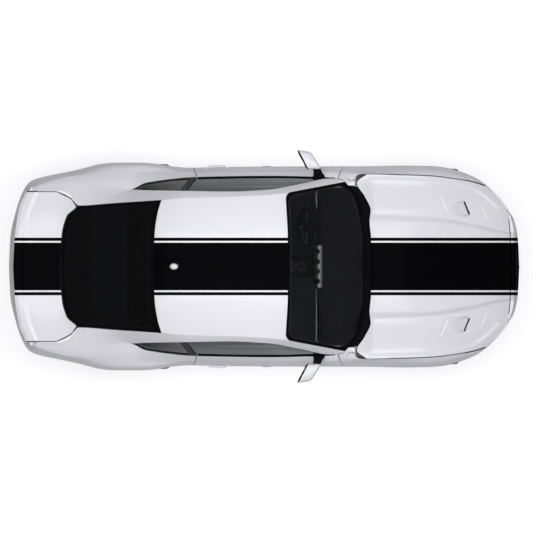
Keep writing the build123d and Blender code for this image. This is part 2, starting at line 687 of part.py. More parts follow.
def around_nose(places, levels, depth_of):
    """Grids that run round the nose or tail from the left side to the right."""
    outer, inner = [], []
    for s, sign in places:
        out_points, in_points = [], []
        for n, level in enumerate(levels):
            z = level(s) if callable(level) else level
            x, y, _ = skin(s, z)
            out_points.append((x, sign * y, z))
            x, y, _ = skin(s, z, depth_of(n))
            in_points.append((x, sign * y, z))
        outer.append(out_points)
        inner.append(in_points)
    return outer, inner


def mirrored_places(lefts, middle):
    return [(s, 1) for s in lefts] + [(middle, 1)] + [(s, -1) for s in reversed(lefts)]


NOSE_PLACES = [place(x) for x in (1905 + TOUCH, 1985, 2080)] + [place_y(y, True) for y in (680, 600, 510, 440, 300, 150)]
NOSE_LEVELS = (165, 215, 330, 440, 480, 590, LAMP_LOW, NOSE_TOP)


def behind_nose(s, z, depth):
    """A point behind the bumper's flat facets, depth inside their surface."""
    marks, levels = [*NOSE_PLACES, PATH_END], NOSE_LEVELS
    i = min(max(bisect_right(marks, s) - 1, 0), len(marks) - 2)
    j = min(max(bisect_right(levels, z) - 1, 0), len(levels) - 2)
    t, u = (s - marks[i]) / (marks[i + 1] - marks[i]), (z - levels[j]) / (levels[j + 1] - levels[j])
    low, high = [[mix(a, b, t) for a, b in zip(skin(marks[i], level, depth), skin(marks[i + 1], level, depth))]
                 for level in (levels[j], levels[j + 1])]
    return tuple(mix(a, b, u) for a, b in zip(low, high))


def front_bumper():
    places = mirrored_places(NOSE_PLACES, PATH_END)
    levels = (*NOSE_LEVELS, bonnet_edge_z)
    outer, inner = around_nose(places, levels, lambda n: BUMPER_T)
    last = len(places) - 2

    def keep(k, row):
        k = min(k, last - k)
        lower_intake = row == 1 and k >= 4
        grille = 4 <= row <= 6 and k >= 5
        lamp = row in (6,) and 1 <= k <= 3
        return not (lower_intake or grille or lamp)

    return sheet(outer, inner, keep)


def head_lamps():
    """Left and right lamp units, each filling its pocket in the bumper."""
    places = [(place(x), 1) for x in (1985, 2080)] + [(place_y(y, True), 1) for y in (680, 600)]
    first, last = places[0], places[-1]
    places = [(first[0] + TOUCH, 1), *places[1:-1], (last[0] - TOUCH, 1)]
    outer, inner = around_nose(places, (LAMP_LOW + TOUCH, NOSE_TOP - TOUCH), lambda n: 55)
    return both(sheet(outer, inner))


def grille():
    """A lattice of bars in the main opening and in the lower one."""
    inset = BUMPER_T + 0.5

    def lattice(half_width, low, high, holes, rows, bar):
        s_edge = place_y(half_width, True)
        marks = []
        for n in range(-holes, holes):
            for f in (bar / 2, 1 - bar / 2):
                marks.append((n + f) / holes)
        marks = [-1, *marks, 1]
        heights = [low]
        for n in range(rows):
            heights += [mix(low, high, (n + bar * 0.8) / rows), mix(low, high, (n + 1 - bar * 0.8) / rows)]
        heights.append(high)
        outer, inner = [], []
        for u in marks:
            s = mix(PATH_END, s_edge, abs(u))
            sign = 1 if u >= 0 else -1
            line_out, line_in = [], []
            for z in heights:
                x, y, _ = behind_nose(s, z, inset)
                line_out.append((x, sign * y, z))
                x, y, _ = behind_nose(s, z, inset + 10)
                line_in.append((x, sign * y, z))
            outer.append(line_out)
            inner.append(line_in)
        return sheet(outer, inner, lambda k, row: k % 2 == 0 or row % 2 == 0)

    main = lattice(505, 476, NOSE_TOP, 5, 3, 0.14)
    lower = lattice(590, 209, 334, 6, 2, 0.14)
    return Compound([main, lower])


def splitter():
    lefts = [place(1985), place(2080)] + [place_y(y, True) for y in (640, 440, 200)]
    places = mirrored_places(lefts, PATH_END)
    outer, inner = [], []
    for s, sign in places:
        x, y, _ = skin(s, 165, -22)
        outer.append([(x, sign * y, 149), (x, sign * y, 165 - TOUCH)])
        x, y, _ = skin(s, 165, 90)
        inner.append([(x, sign * y, 149), (x, sign * y, 165 - TOUCH)])
    return sheet(outer, inner)


def rear_bumper():
    lefts = [place(x) for x in (-1500, -1640, -1760, -1900, -2047, -2159, -2235)]
    lefts += [place_y(y, False) for y in (620, 370, 200)]
    places = mirrored_places(lefts, 0)
    levels = (REAR_BUMPER_BOTTOM, 320, 420, 560, 640, BUMPER_TOP - TOUCH)
    outer, inner = around_nose(places, levels, lambda n: BUMPER_T)
    last = len(places) - 2
    pipes = len(lefts) - 3

    def keep(k, row):
        return not (row == 0 and min(k, last - k) == pipes)

    holes = [rod(PLATE_HOLE_R, (-2450, sign * PLATE_SPACING / 2, PLATE_Z), (-2300, sign * PLATE_SPACING / 2, PLATE_Z))
             for sign in (-1, 1)]
    return sheet(outer, inner, keep) - Compound(holes) - Compound([arch("rear", REAR_AXLE_X, ARCH_R["rear"], y, y + 700)
                                           for y in (400, -1100)])


def tail_panel():
    """The frame round the tail lamps and under the boot lid."""
    lefts = [place(TAIL_X) - TOUCH] + [place_y(y, False) for y in (745, 440, LID_DROP_Y + 3 * SEAM, 200)]
    places = mirrored_places(lefts, 0)
    levels = (BUMPER_TOP + TOUCH, 752, 800 - SEAM - 6, 965, 1014)
    outer, inner = around_nose(places, levels, lambda n: 40)
    last = len(places) - 2

    def keep(k, row):
        k = min(k, last - k)
        lamp = k == 1 and 1 <= row <= 2
        lid = k >= 3 and row >= 2
        return not (lamp or lid)

    return sheet(outer, inner, keep)


def tail_lamps():
    places = [(place_y(745, False) - TOUCH, 1), (place_y(600, False), 1), (place_y(440, False) + TOUCH, 1)]
    outer, inner = around_nose(places, (752 + TOUCH, 965 - TOUCH), lambda n: 50)
    return both(sheet(outer, inner))


# ---------------------------------------------------------------- mirrors and glass in doors
def door_mirror():
    """Left door mirror: a housing on a short stalk at the front of the door."""
    plan = [(395, 915), (311, 1080), (325, 1093), (430, 1077), (458, 1050), (532, 930), (500, 912)]
    body = extrude(make_face(Polyline(*plan, plan[0])), amount=112)
    body = Pos(0, 0, 968) * body
    body = fillet(body.edges().filter_by(Axis.Z), 12)
    stalk = block(455, 560, 834, 925, on(BELT, 455)[2] + TOUCH, 990)
    return body + stalk


# ---------------------------------------------------------------- structure
def floor_pan():
    """Floor, firewall, tunnel, boot floor and front rails in one welded piece."""
    low_z = 176 - FLOOR_T / 2
    share = (low_z - SILL_BOTTOM) / (SILL_TOP - SILL_BOTTOM)
    half = min(mix(side(x, SILL_BOTTOM, SILL_T)[1], side(x, SILL_TOP, SILL_T)[1], share)
               for x in (-667, 0, 780)) - TOUCH
    front = strip([(-900, 176), (850, 176), (930, 230), (1012, 420), (1012, 905)], FLOOR_T, -half, half)
    rear = strip([(-893, 176), (-893, 345), (-1030, 462), (-1560, 462), (-1640, 400), (-2225, 400), (-2225, 680)],
                 FLOOR_T, -610, 610)
    shelf = strip([(-1290, 458), (-1290, 990), (-1648, 990)], FLOOR_T, -595, 595)
    tunnel = block(-893, 1010, -130, 130, 176, 330) - block(-950, 1012, -118, 118, 150, 318)
    tunnel_cut = block(-880, 1100, -118, 118, 100, 300)
    pan = (front - tunnel_cut) + rear + shelf + tunnel
    for sign in (-1, 1):
        pan += block(1005, 2262, sign * 395, sign * 455, 430, 520)
        hx, hy, hz = BOOT_HINGE
        for offset_y in (-20, 8.0):
            y0 = sign * (hy + offset_y)
            y1 = sign * (hy + offset_y + 12)
            pan += block(hx - 14, hx + 25, y0, y1, 985, hz) + rod(14, (hx, y0, hz), (hx, y1, hz))
        pan += rod(6, (hx, sign * (hy - 20), hz), (hx, sign * (hy + 20), hz))
    pan += block(2235, 2272, -455, 455, 425, 525)
    return pan


COWL_HALF = 761 - TOUCH    # as far as the pillars' feet


def cowl():
    """The sunken panel between windscreen and bonnet, over the firewall, with the bonnet's pins."""
    grid = []
    for j in range(-4, 5):
        u = j / 4
        rear_x = smooth(GLASS_BOTTOM, abs(u) * 780)
        line = [(rear_x - 20, u * COWL_HALF, 938), (rear_x + 30, u * COWL_HALF, 925), (1040, u * 730, 912)]
        grid.append(line)
    panel = sheet(grid, shifted(grid, dz=-8))
    z = bonnet_hinge_z()
    for sign in (-1, 1):
        bracket = block(BONNET_HINGE_X - 12, BONNET_HINGE_X + 12, sign * 765, sign * 775, 905, z)
        bracket += block(BONNET_HINGE_X - 30, BONNET_HINGE_X + 30, sign * 700, sign * 775, 905, 918)
        bracket += rod(12, (BONNET_HINGE_X, sign * 765, z), (BONNET_HINGE_X, sign * 775, z))
        bracket += rod(6, (BONNET_HINGE_X, sign * 765, z), (BONNET_HINGE_X, sign * 798, z))
        panel += bracket
    return panel


def wheel_liners():
    """Half-round liners over each wheel, with their inner walls, trimmed to the body's inside."""
    pieces = []
    for end, wall_y, panel_t in (("front", 455 + TOUCH, FENDER_T), ("rear", 610 + TOUCH, BODY_T)):
        x, z, r = AXLE_X[end], AXLE_Z[end], LINER_R[end]
        rings = []
        for radius in (r, r + LINER_T):
            ring = []
            for angle in range(0, 181, 15):
                px, pz = x + radius * cos(radians(angle)), z + radius * sin(radians(angle))
                edge_t = panel_t
                if end == "front" and angle > 150:
                    edge_t = BUMPER_T
                if angle < 30:
                    edge_t = BUMPER_T + 8 if end == "front" else 88 if angle == 0 else panel_t
                ring.append([(px, wall_y, pz), (px, side(px, pz, edge_t)[1] - 6.0, pz)])
            rings.append(ring)
        liner = sheet(rings[1], rings[0])
        wall = rod(r + LINER_T / 2, (x, wall_y, z), (x, wall_y + LINER_T, z))
        wall &= block(x - r - LINER_T, x + r + LINER_T, 0, 1000, z, z + 500)
        liner += wall
        if end == "front":
            liner -= rod(34, (x, STRUT_Y, 600), (x, STRUT_Y, 900))
        liner -= rod(44, (x, wall_y - 5, z), (x, wall_y + 10, z))
        pieces.append(liner)
    return Compound([solid for piece in pieces for solid in both(piece).solids()])


# ---------------------------------------------------------------- running gear
SPINDLE_R = 26
KINGPIN_R = 10
STRUT_Y = 595
ARM_Z = (222, 242)
EYE_Z = (452, 470)


def front_subframe():
    """Crossmember, lower arms and struts, with the eyes that the steering knuckles turn in."""
    x = FRONT_AXLE_X
    pin_y = WHEEL_Y["front"] - STEER_INSET
    frame = block(x - 110, x + 110, -400, 400, 205, 262)
    for sign in (-1, 1):
        frame += block(x - 60, x + 60, sign * 400, sign * 455, 205, 430 - TOUCH)
        arm = make_face(Polyline((x - 100, 390), (x - 24, pin_y), (x + 24, pin_y), (x + 100, 390), (x - 100, 390)))
        arm = Pos(0, 0, ARM_Z[0]) * extrude(arm, amount=ARM_Z[1] - ARM_Z[0])
        arm += rod(24, (x, pin_y, ARM_Z[0]), (x, pin_y, ARM_Z[1]))
        strut = rod(28, (x, STRUT_Y, 440), (x, STRUT_Y, 800)) + block(x - 24, x + 24, 570, pin_y, *EYE_Z)
        strut += rod(24, (x, pin_y, EYE_Z[0]), (x, pin_y, EYE_Z[1]))
        tower = block(x - 70, x + 70, 395, 640, 795, 812) + block(x - 70, x + 70, 395, 455, 520 + TOUCH, 812)
        corner = arm + strut + tower
        corner -= rod(KINGPIN_R + PIN_FIT, (x, pin_y, 200), (x, pin_y, 500))
        frame += corner if sign > 0 else other_side(corner)
    return frame


def knuckle():
    """Left steering knuckle with its kingpins, spindle and brake caliper."""
    x, y, z = FRONT_AXLE_X, WHEEL_Y["front"] - STEER_INSET, AXLE_Z["front"]
    body = block(x - 24, x + 24, y - 24, y + 24, ARM_Z[1] + SIDE_FIT, EYE_Z[0] - SIDE_FIT)
    body += rod(KINGPIN_R, (x, y, ARM_Z[0]), (x, y, EYE_Z[1]))
    body += rod(SPINDLE_R, (x, y, z), (x, WHEEL_Y["front"] + 30, z))
    return body + caliper("front", y)


def caliper(end, inner_y):
    x, z, wheel_y = AXLE_X[end], AXLE_Z[end], WHEEL_Y[end]
    body = block(x - 195, x - 105, inner_y + 8, wheel_y + 8, z - 70, z + 70)
    body -= block(x - 182, x - 90, wheel_y - 31, wheel_y - 5, z - 100, z + 100)
    body += block(x - 120, x, inner_y + 8, inner_y + 24, z - 20, z + 20)
    return body


def rear_subframe():
    """Rear crossmember with final drive, arms, hub carriers and spindles."""
    x, z, wheel_y = REAR_AXLE_X, AXLE_Z["rear"], WHEEL_Y["rear"]
    inner_y = wheel_y - 90
    frame = block(x - 130, x + 130, -420, 420, 300, 360) + rod(120, (x, -90, z - 20), (x, 90, z - 20))
    for mount_x in (x - 105, x + 105):
        frame += block(mount_x - 25, mount_x + 25, -400, -340, 355, 455 - TOUCH)
        frame += block(mount_x - 25, mount_x + 25, 340, 400, 355, 455 - TOUCH)
    for sign in (-1, 1):
        corner = block(x - 60, x + 60, 400, inner_y + 24, 215, 245)
        corner += block(x - 60, x + 60, 380, 420, 215, 330)
        corner += block(x - 30, x + 30, inner_y - 24, inner_y + 24, 215, 470)
        corner += rod(28, (x, 80, z), (x, inner_y, z)) + rod(SPINDLE_R, (x, inner_y, z), (x, wheel_y + 30, z))
        corner += caliper("rear", inner_y)
        frame += corner if sign > 0 else other_side(corner)
    return frame


def revolved(profile, x, y, z):
    """A ring about the wheel's axis: profile points are (radius, y offset, positive outboard)."""
    face = make_face(Polyline(*profile, profile[0]))
    ring = revolve(Plane.XY * face, axis=Axis.Y)
    return Pos(x, y, z) * ring


def tyre(end, sign):
    r, w = TYRE_R[end], TYRE_W[end] / 2
    inner = RIM_R + BEAD_FIT
    profile = [(inner, -RIM_BEAD_W / 2), (inner + 22, -w + 4), (inner + 50, -w), (r - 30, -w + 4), (r - 8, -w + 20),
               (r, -w + 42), (r, w - 42), (r - 8, w - 20), (r - 30, w - 4), (inner + 50, w), (inner + 22, w - 4),
               (inner, RIM_BEAD_W / 2), (inner, RIM_BEAD_W / 2 - 24), (inner + 50, w - 34), (r - 26, w - 34),
               (r - 18, 0), (r - 26, -w + 34), (inner + 50, -w + 34), (inner, -RIM_BEAD_W / 2 + 24)]
    return revolved(profile, AXLE_X[end], sign * WHEEL_Y[end], AXLE_Z[end])


SPOKES = 5
HUB_R = 72
DISC_R = 178
SPOKE_FACE = 98            # outer face of the spokes, outboard of the wheel's middle


def wheel(end, sign):
    """Rim with five pairs of spokes, hub and brake disc, bored for its spindle."""
    half = RIM_BEAD_W / 2
    rim = revolved([(RIM_R, -half - 8), (RIM_R, half + 8), (RIM_R - RIM_WALL, half + 8),
                    (RIM_R - RIM_WALL - 8, half - 30), (RIM_R - RIM_WALL - 8, -half + 20), (RIM_R - RIM_WALL, -half - 8)],
                   0, 0, 0)
    hub = rod(HUB_R, (0, 34, 0), (0, SPOKE_FACE - 12, 0)) + rod(50, (0, -28, 0), (0, 36, 0))
    disc = rod(DISC_R, (0, -27, 0), (0, -9, 0))
    body = rim + hub + disc
    tip = RIM_R - RIM_WALL - 4
    twin = [(-13, HUB_R - 14), (13, HUB_R - 14), (34, tip), (14, tip), (0, HUB_R + 12), (-14, tip), (-34, tip)]
    spoke = across(extrude(make_face(Polyline(*twin, twin[0])), amount=30), SPOKE_FACE)
    for n in range(SPOKES):
        body += Rot(0, n * 360 / SPOKES, 0) * spoke
    body -= rod(SPINDLE_R + PIN_FIT, (0, -60, 0), (0, 32, 0))
    if sign < 0:
        body = other_side(body)
    return Pos(AXLE_X[end], sign * WHEEL_Y[end], AXLE_Z[end]) * body


# ---------------------------------------------------------------- engine, exhaust, cabin
def engine_block():
    return block(1080, 1760, -300, 300, 262 + TOUCH, 790) + block(300, 1085, -95, 95, 150, 298)


def exhaust():
    """Two pipes, each with a middle and an end silencer, and paired tail pipes under the bumper."""
    pipe_r, tip_r, tip_wall = 27, 40, 4
    pieces = []
    for sign in (-1, 1):
        line = rod(pipe_r, (1000, sign * 200, 141), (-500, sign * 200, 141))
        line += block(-820, -420, sign * 160, sign * 370, 108, 168)
        line += rod(pipe_r, (-815, sign * 330, 141), (-920, sign * 330, 141))
        line += rod(pipe_r, (-920, sign * 330, 141), (-1020, sign * 330, 190))
        line += rod(pipe_r, (-1010, sign * 330, 188), (-1420, sign * 330, 188))
        line += rod(pipe_r, (-1400, sign * 330, 188), (-1770, sign * 480, 290))
        line += block(-2190, -1760, sign * 380, sign * 600, 235, 393 - TOUCH)
        for y in (440, 540):
            tip_x = skin(place_y(y, False), BUMPER_TOP)[0] + 8
            line += rod(tip_r, (-2180, sign * y, 270), (tip_x, sign * y, 270))
            line -= rod(tip_r - tip_wall, (tip_x + 85, sign * y, 270), (tip_x - 15, sign * y, 270))
        pieces.append(line)
    return Compound([solid for piece in pieces for solid in piece.solids()])


WHEEL_CENTRE = (395, 370, 850)
COLUMN_TILT = -65


def dashboard():
    profile = [(1005 - TOUCH, 895), (720, 895), (640, 912), (520, 900), (480, 860), (500, 740), (560, 640),
               (700, 600), (1005 - TOUCH, 640)]
    face = make_face(Polyline(*profile, profile[0]))
    half = 735
    panel = across(extrude(face, amount=2 * half), half)
    column = Pos(*WHEEL_CENTRE) * Rot(0, COLUMN_TILT, 0) * Pos(0, 0, -150) * Cylinder(26 + TOUCH, 300)
    return panel - column


def steering_wheel():
    """Wheel and column: the rim, four spokes, hub and the column that enters the dashboard."""
    body = Torus(178, 15) + Cylinder(55, 40)
    for angle in (0, 90, 180, 270):
        body += Rot(0, 0, angle) * Pos(110, 0, 0) * Box(140, 26, 14)
    body += Pos(0, 0, -120) * Cylinder(26, 240)
    return Pos(*WHEEL_CENTRE) * Rot(0, COLUMN_TILT, 0) * body


def seat():
    """A front seat: cushion, backrest and headrest."""
    def slab(points, y0, y1, round_r):
        face = make_face(Polyline(*points, points[0]))
        body = across(extrude(face, amount=y1 - y0), y1)
        return fillet(body.edges().filter_by(Axis.Y), round_r)

    cushion = slab([(-250, 300), (260, 340), (270, 450), (240, 490), (-250, 420)], 140, 650, 30)
    back = slab([(-300, 400), (-190, 400), (-300, 980), (-390, 980), (-400, 940)], 145, 645, 25)
    head = slab([(-340, 960), (-300, 960), (-290, 1130), (-370, 1130), (-390, 1000)], 280, 510, 20)
    base = block(-200, 200, 190, 600, 183 + TOUCH, 330)
    return base + cushion + back + head


def rear_seat():
    """The rear bench, on the step of the floor and against the bulkhead."""
    profile = [(-884, 353), (-860, 540), (-900, 585), (-1130, 590), (-1210, 945), (-1283 + TOUCH, 945), (-1283 + TOUCH, 470),
               (-1022, 471)]
    return across(extrude(make_face(Polyline(*profile, profile[0])), amount=1160), 580)


def console():
    return block(-560, 520, -105, 105, 330 + TOUCH, 560) + rod(14, (120, 0, 555), (105, 0, 660)) \
        + block(90, 130, -24, 24, 640, 690)


def antenna():
    """The low aerial fin, seated on the roof's slope."""
    line = roof_line()
    rear, front = ANTENNA_X - 42, ANTENNA_X + 42
    base = [(x, straight(line, x) + TOUCH)
            for x in (rear, *[x for x, _ in line if rear < x < front], front)]
    low_rear, low_front = base[0][1], base[-1][1]
    profile = [*base, (front - 12, low_front + 12), (ANTENNA_X - 8, low_rear + 38), (rear + 6, low_rear + 34)]
    return across(extrude(make_face(Polyline(*profile, profile[0])), amount=60), 30)


# ---------------------------------------------------------------- all nodes
def build():
    left_side = body_side()
    left_side = left_side + hinge_post()
    left_door = door()
    nodes = {
        "side_body_left": left_side, "side_body_right": other_side(left_side),
        "door_left": left_door, "door_right": other_side(left_door),
        "door_glass_left": door_window(), "door_glass_right": other_side(door_window()),
        "mirror_left": door_mirror(), "mirror_right": other_side(door_mirror()),
        "quarter_glass": both(rear_side_window()), "windshield": windscreen(), "rear_window": rear_window(),
        "roof_panel": roof_panel(), "hood": bonnet(), "trunk_lid": boot_lid(),
        "front_fenders": both(front_fender()), "front_bumper": front_bumper(), "headlamps": head_lamps(),
        "grille": grille(), "splitter": splitter(), "rear_bumper": rear_bumper(), "tail_panel": tail_panel(),
        "tail_lamps": tail_lamps(), "floor_pan": floor_pan(), "cowl": cowl(), "wheel_liners": wheel_liners(),
        "front_subframe": front_subframe(), "rear_subframe": rear_subframe(),
        "knuckle_left": knuckle(), "knuckle_right": other_side(knuckle()),
        "engine_block": engine_block(), "exhaust": exhaust(), "dashboard": dashboard(),
        "steering_wheel": steering_wheel(), "front_seats": both(seat()), "rear_seat": rear_seat(),
        "center_console": console(), "antenna": antenna()}
    for end in ("front", "rear"):
        for hand, sign in (("left", 1), ("right", -1)):
            nodes[f"tyre_{end}_{hand}"] = tyre(end, sign)
            nodes[f"wheel_{end}_{hand}"] = wheel(end, sign)
    return nodes


os.makedirs("parts", exist_ok=True)
for name, shape in build().items():
    export_step(shape, f"parts/{name}.step")
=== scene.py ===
import bpy, bmesh
from bisect import bisect_right
from math import cos, exp, hypot, pi, radians, sin, sqrt
from mathutils import Matrix, Vector


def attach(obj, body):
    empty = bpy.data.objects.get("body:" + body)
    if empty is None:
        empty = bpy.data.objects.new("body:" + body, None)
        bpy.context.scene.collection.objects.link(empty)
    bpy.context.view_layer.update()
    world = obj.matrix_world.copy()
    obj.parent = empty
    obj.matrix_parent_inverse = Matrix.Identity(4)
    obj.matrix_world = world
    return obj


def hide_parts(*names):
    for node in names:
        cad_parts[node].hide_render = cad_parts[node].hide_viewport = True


# A two-door fastback muscle car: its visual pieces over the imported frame.
# The tables and curves are those of the model, in millimetres; meshes are made in metres.
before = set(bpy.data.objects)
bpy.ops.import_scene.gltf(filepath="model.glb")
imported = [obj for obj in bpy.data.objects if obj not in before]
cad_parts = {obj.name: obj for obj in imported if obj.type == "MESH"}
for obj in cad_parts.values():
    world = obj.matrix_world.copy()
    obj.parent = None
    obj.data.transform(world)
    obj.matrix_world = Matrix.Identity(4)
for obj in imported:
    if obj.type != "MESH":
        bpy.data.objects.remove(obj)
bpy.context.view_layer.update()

# ---------------------------------------------------------------- driving dimensions
FRONT_AXLE_X = 1490
WHEELBASE = 2720
REAR_AXLE_X = FRONT_AXLE_X - WHEELBASE
TRACK = {"front": 1582, "rear": 1648}
TYRE_R = {"front": 343, "rear": 351}
TYRE_W = {"front": 255, "rear": 275}
RIM_R = 245
RIM_BEAD_W = 232
ARCH_CLEARANCE = 42        # between tyre tread and wheel arch edge

SILL_BOTTOM = 155
SILL_TOP = 262
BUMPER_TOP = 697           # height of the seam between rear bumper and quarter panel
REAR_BUMPER_BOTTOM = 225
SEAM = 8.2                 # gap round doors, bonnet and boot lid
TOUCH = 0.4                # gap between fixed panels that rest against each other
BODY_T = 50                # quarter panel and roof rail, inner and outer skin together
SILL_T = 115
FENDER_T = 8
BUMPER_T = 18
DOOR_T = 110
ROOF_T = 30
LID_T = 14

DOOR_HINGE_BACK = 114      # hinge axis behind the door's front edge, so that the edge swings in
DOOR_HINGE_Y = 905
DOOR_HINGE_Z = (430, 660)
HINGE_PIN_R = 7
HINGE_STRAP = 10
DOOR_FRONT_X = 780
DOOR_REAR_X = -667

BONNET_HINGE_X = 905
BONNET_HINGE_DROP = 27     # hinge axis below the bonnet's surface
BOOT_HINGE = (-1660, 560, 1040)
PLATE_Z, PLATE_SPACING, PLATE_HOLE_R = 500, 178, 3

# ---------------------------------------------------------------- tables of the body's shape
# x, half width: the widest outline seen from above, from the tail's middle to the nose's middle
OUTLINE = [(-2395, 0), (-2383, 263), (-2328, 526), (-2272, 685), (-2216, 779), (-2159, 816),
           (-2047, 849), (-1878, 882), (-1709, 920), (-1540, 962), (-1400, 975), (-1180, 975),
           (-1033, 967), (-864, 940), (-700, 928), (-300, 936), (300, 939), (880, 941),
           (1300, 948), (1501, 948), (1670, 934), (1782, 910), (1895, 873), (2007, 821),
           (2120, 732), (2233, 591), (2345, 441), (2383, 260), (2395, 0)]
# heights, and how far the skin stands inside the outline at each of them
LEVELS = (150, 210, 270, 330, 450, 560, 640, 700, 740, 800, 870)
INSETS = [  # x of the place on the outline, insets at LEVELS
    (-2395, (95, 70, 45, 22, 3, 0, 12, 42, 50, 54, 54)),
    (-2216, (95, 75, 50, 25, 5, 0, 10, 25, 32, 40, 46)),
    (-1900, (90, 70, 46, 25, 8, 2, 0, 2, 6, 16, 30)),
    (-1240, (75, 62, 40, 22, 8, 4, 1, 0, 0, 4, 20)),
    (-640, (72, 60, 34, 14, 6, 6, 5, 1, 0, 8, 36)),
    (700, (72, 60, 34, 14, 6, 8, 8, 2, 0, 8, 44)),
    (1490, (70, 58, 34, 16, 6, 2, 0, 0, 5, 26, 84)),
    (2120, (95, 60, 40, 22, 5, 0, 2, 8, 24, 85, 120)),
    (2395, (70, 45, 25, 12, 0, 0, 8, 34, 84, 120, 150))]
# curves that panels share on the left side: x, y, z
CREASE = [(-2187, 743, 1000), (-2127, 770, 1000), (-1925, 826, 985), (-1741, 858, 968),
          (-1430, 884, 940), (-1263, 888, 930), (-900, 900, 895), (-600, 890, 890)]
BELT = [(-2187, 738, 1018), (-2127, 748, 1026), (-1925, 755, 1032), (-1741, 745, 1040),
        (-1430, 738, 1042), (-1263, 722, 1034), (-1105, 787, 1016), (-626, 840, 985),
        (55, 851, 957), (675, 833, 936), (800, 806, 940)]
RAIL = [(-2187, 728, 1032), (-2127, 722, 1040), (-1925, 728, 1047), (-1741, 655, 1075),
        (-1430, 668, 1100), (-1263, 722, 1034), (-1105, 716, 1104), (-900, 712, 1190),
        (-724, 710, 1250), (-339, 704, 1284), (55, 723, 1262), (337, 774, 1128),
        (618, 826, 968), (800, 803, 944)]
EDGE = [(-2187, 712, 1042), (-2127, 707, 1048), (-1925, 707, 1055), (-1841, 688, 1062),
        (-1741, 573, 1094), (-1430, 594, 1166), (-1263, 605, 1208), (-963, 625, 1284),
        (-724, 646, 1318), (-339, 656, 1336), (0, 672, 1328), (200, 690, 1298),
        (340, 716.5, 1212.75), (480, 743, 1127.5), (620, 769.5, 1042.25), (760, 796, 957)]
FENDER_SEAM = [(820, 800, 955), (868, 850, 956), (905, 867, 955), (994, 873, 946), (1250, 866, 917),
               (1557, 856, 875), (1810, 826, 822), (1950, 800, 787), (2092, 757, 748)]
CENTRE = [(-1905, 0, 1080), (-1600, 0, 1162), (-1300, 0, 1240), (-1036, 0, 1301), (-750, 0, 1353),
          (-500, 0, 1375), (-300, 0, 1380), (-100, 0, 1373), (100, 0, 1348), (224, 0, 1322)]
BONNET_CENTRE = [(1003, 0, 1000), (1250, 0, 965), (1500, 0, 925), (1750, 0, 882),
                 (2000, 0, 836), (2150, 0, 802), (2250, 0, 772), (2317, 0, 742)]
# half width, x: edges that cross the car
BONNET_REAR = [(0, 1003), (263, 1003), (425, 990), (526, 1000), (657, 945), (784, 870), (862, 960)]
BONNET_FRONT = [(0, 2317), (263, 2309), (520, 2283), (640, 2205), (757, 2085)]
GLASS_TOP = [(0, 224), (300, 222), (500, 212), (690, 200)]
GLASS_BOTTOM = [(0, 960), (300, 955), (500, 925), (650, 880), (796, 760)]
REAR_GLASS_TOP = [(0, -1036), (300, -1028), (500, -1000), (625, -963)]
REAR_GLASS_BOTTOM = [(0, -1905), (300, -1888), (470, -1838), (563, -1735)]
LID_FRONT = [(0, -1917), (300, -1900), (480, -1850), (565, -1765), (632, -1812), (699, -1945)]
LID_LIP = [(0, -2355), (263, -2341), (554, -2298), (699, -2236)]
LID_CENTRE = [(-2360, 0, 1096), (-2244, 0, 1072), (-2127, 0, 1068), (-2000, 0, 1072), (-1915, 0, 1078),
              (-1741, 0, 1104)]
# x, half width at the door glass and the door's cuts: height, x
FRONT_CUT = [(SILL_TOP, DOOR_FRONT_X), (700, DOOR_FRONT_X), (936, 690)]
REAR_CUT = [(SILL_TOP, DOOR_REAR_X), (740, DOOR_REAR_X), (985, DOOR_REAR_X + 41)]


# ---------------------------------------------------------------- curves
def smooth(table, x, column=1):
    """The table's column at x, on a cubic through its rows that never overshoots them."""
    keys = [row[0] for row in table]
    if x <= keys[0]:
        return table[0][column]
    if x >= keys[-1]:
        return table[-1][column]
    slopes = [(table[i + 1][column] - table[i][column]) / (keys[i + 1] - keys[i])
              for i in range(len(keys) - 1)]

    def tangent(i):
        if i in (0, len(keys) - 1):
            return slopes[min(i, len(slopes) - 1)]
        before, after = slopes[i - 1], slopes[i]
        return 0 if before * after <= 0 else 2 * before * after / (before + after)

    i = bisect_right(keys, x) - 1
    h = keys[i + 1] - keys[i]
    t = (x - keys[i]) / h
    return (table[i][column] * (2 * t**3 - 3 * t**2 + 1) + tangent(i) * h * (t**3 - 2 * t**2 + t)
            + table[i + 1][column] * (3 * t**2 - 2 * t**3) + tangent(i + 1) * h * (t**3 - t**2))


def straight(table, x):
    """The table's second column at x, on straight lines between its rows."""
    if x <= table[0][0]:
        return table[0][1]
    for (x0, y0), (x1, y1) in zip(table, table[1:]):
        if x <= x1:
            return y0 + (y1 - y0) * (x - x0) / (x1 - x0)
    return table[-1][1]


def ease(t):
    t = min(1, max(0, t))
    return t * t * (3 - 2 * t)


def mix(a, b, t):
    return a + (b - a) * t


def path_lengths():
    total, out = 0.0, []
    for i, (x, y) in enumerate(OUTLINE):
        total += hypot(x - OUTLINE[i - 1][0], y - OUTLINE[i - 1][1]) if i else 0.0
        out.append((total, x, y))
    return out


PATH = path_lengths()
PATH_END = PATH[-1][0]


def place(x):
    """The distance along the left outline, from the tail's middle, at which it is at x."""
    low, high = 0.0, PATH_END
    for _ in range(40):
        middle = (low + high) / 2
        low, high = (middle, high) if smooth(PATH, middle) < x else (low, middle)
    return low


def place_y(y, nose):
    """The distance along the outline at half width y, on the nose or on the tail."""
    low, high = (PATH_END, PATH_END - 1000) if nose else (0.0, 1000)
    for _ in range(40):
        middle = (low + high) / 2
        low, high = (middle, high) if smooth(PATH, middle, 2) < y else (low, middle)
    return low


INSET_ROWS = [(place(x), *insets) for x, insets in INSETS[1:-1]]
INSET_ROWS = [(0.0, *INSETS[0][1]), *INSET_ROWS, (PATH_END, *INSETS[-1][1])]


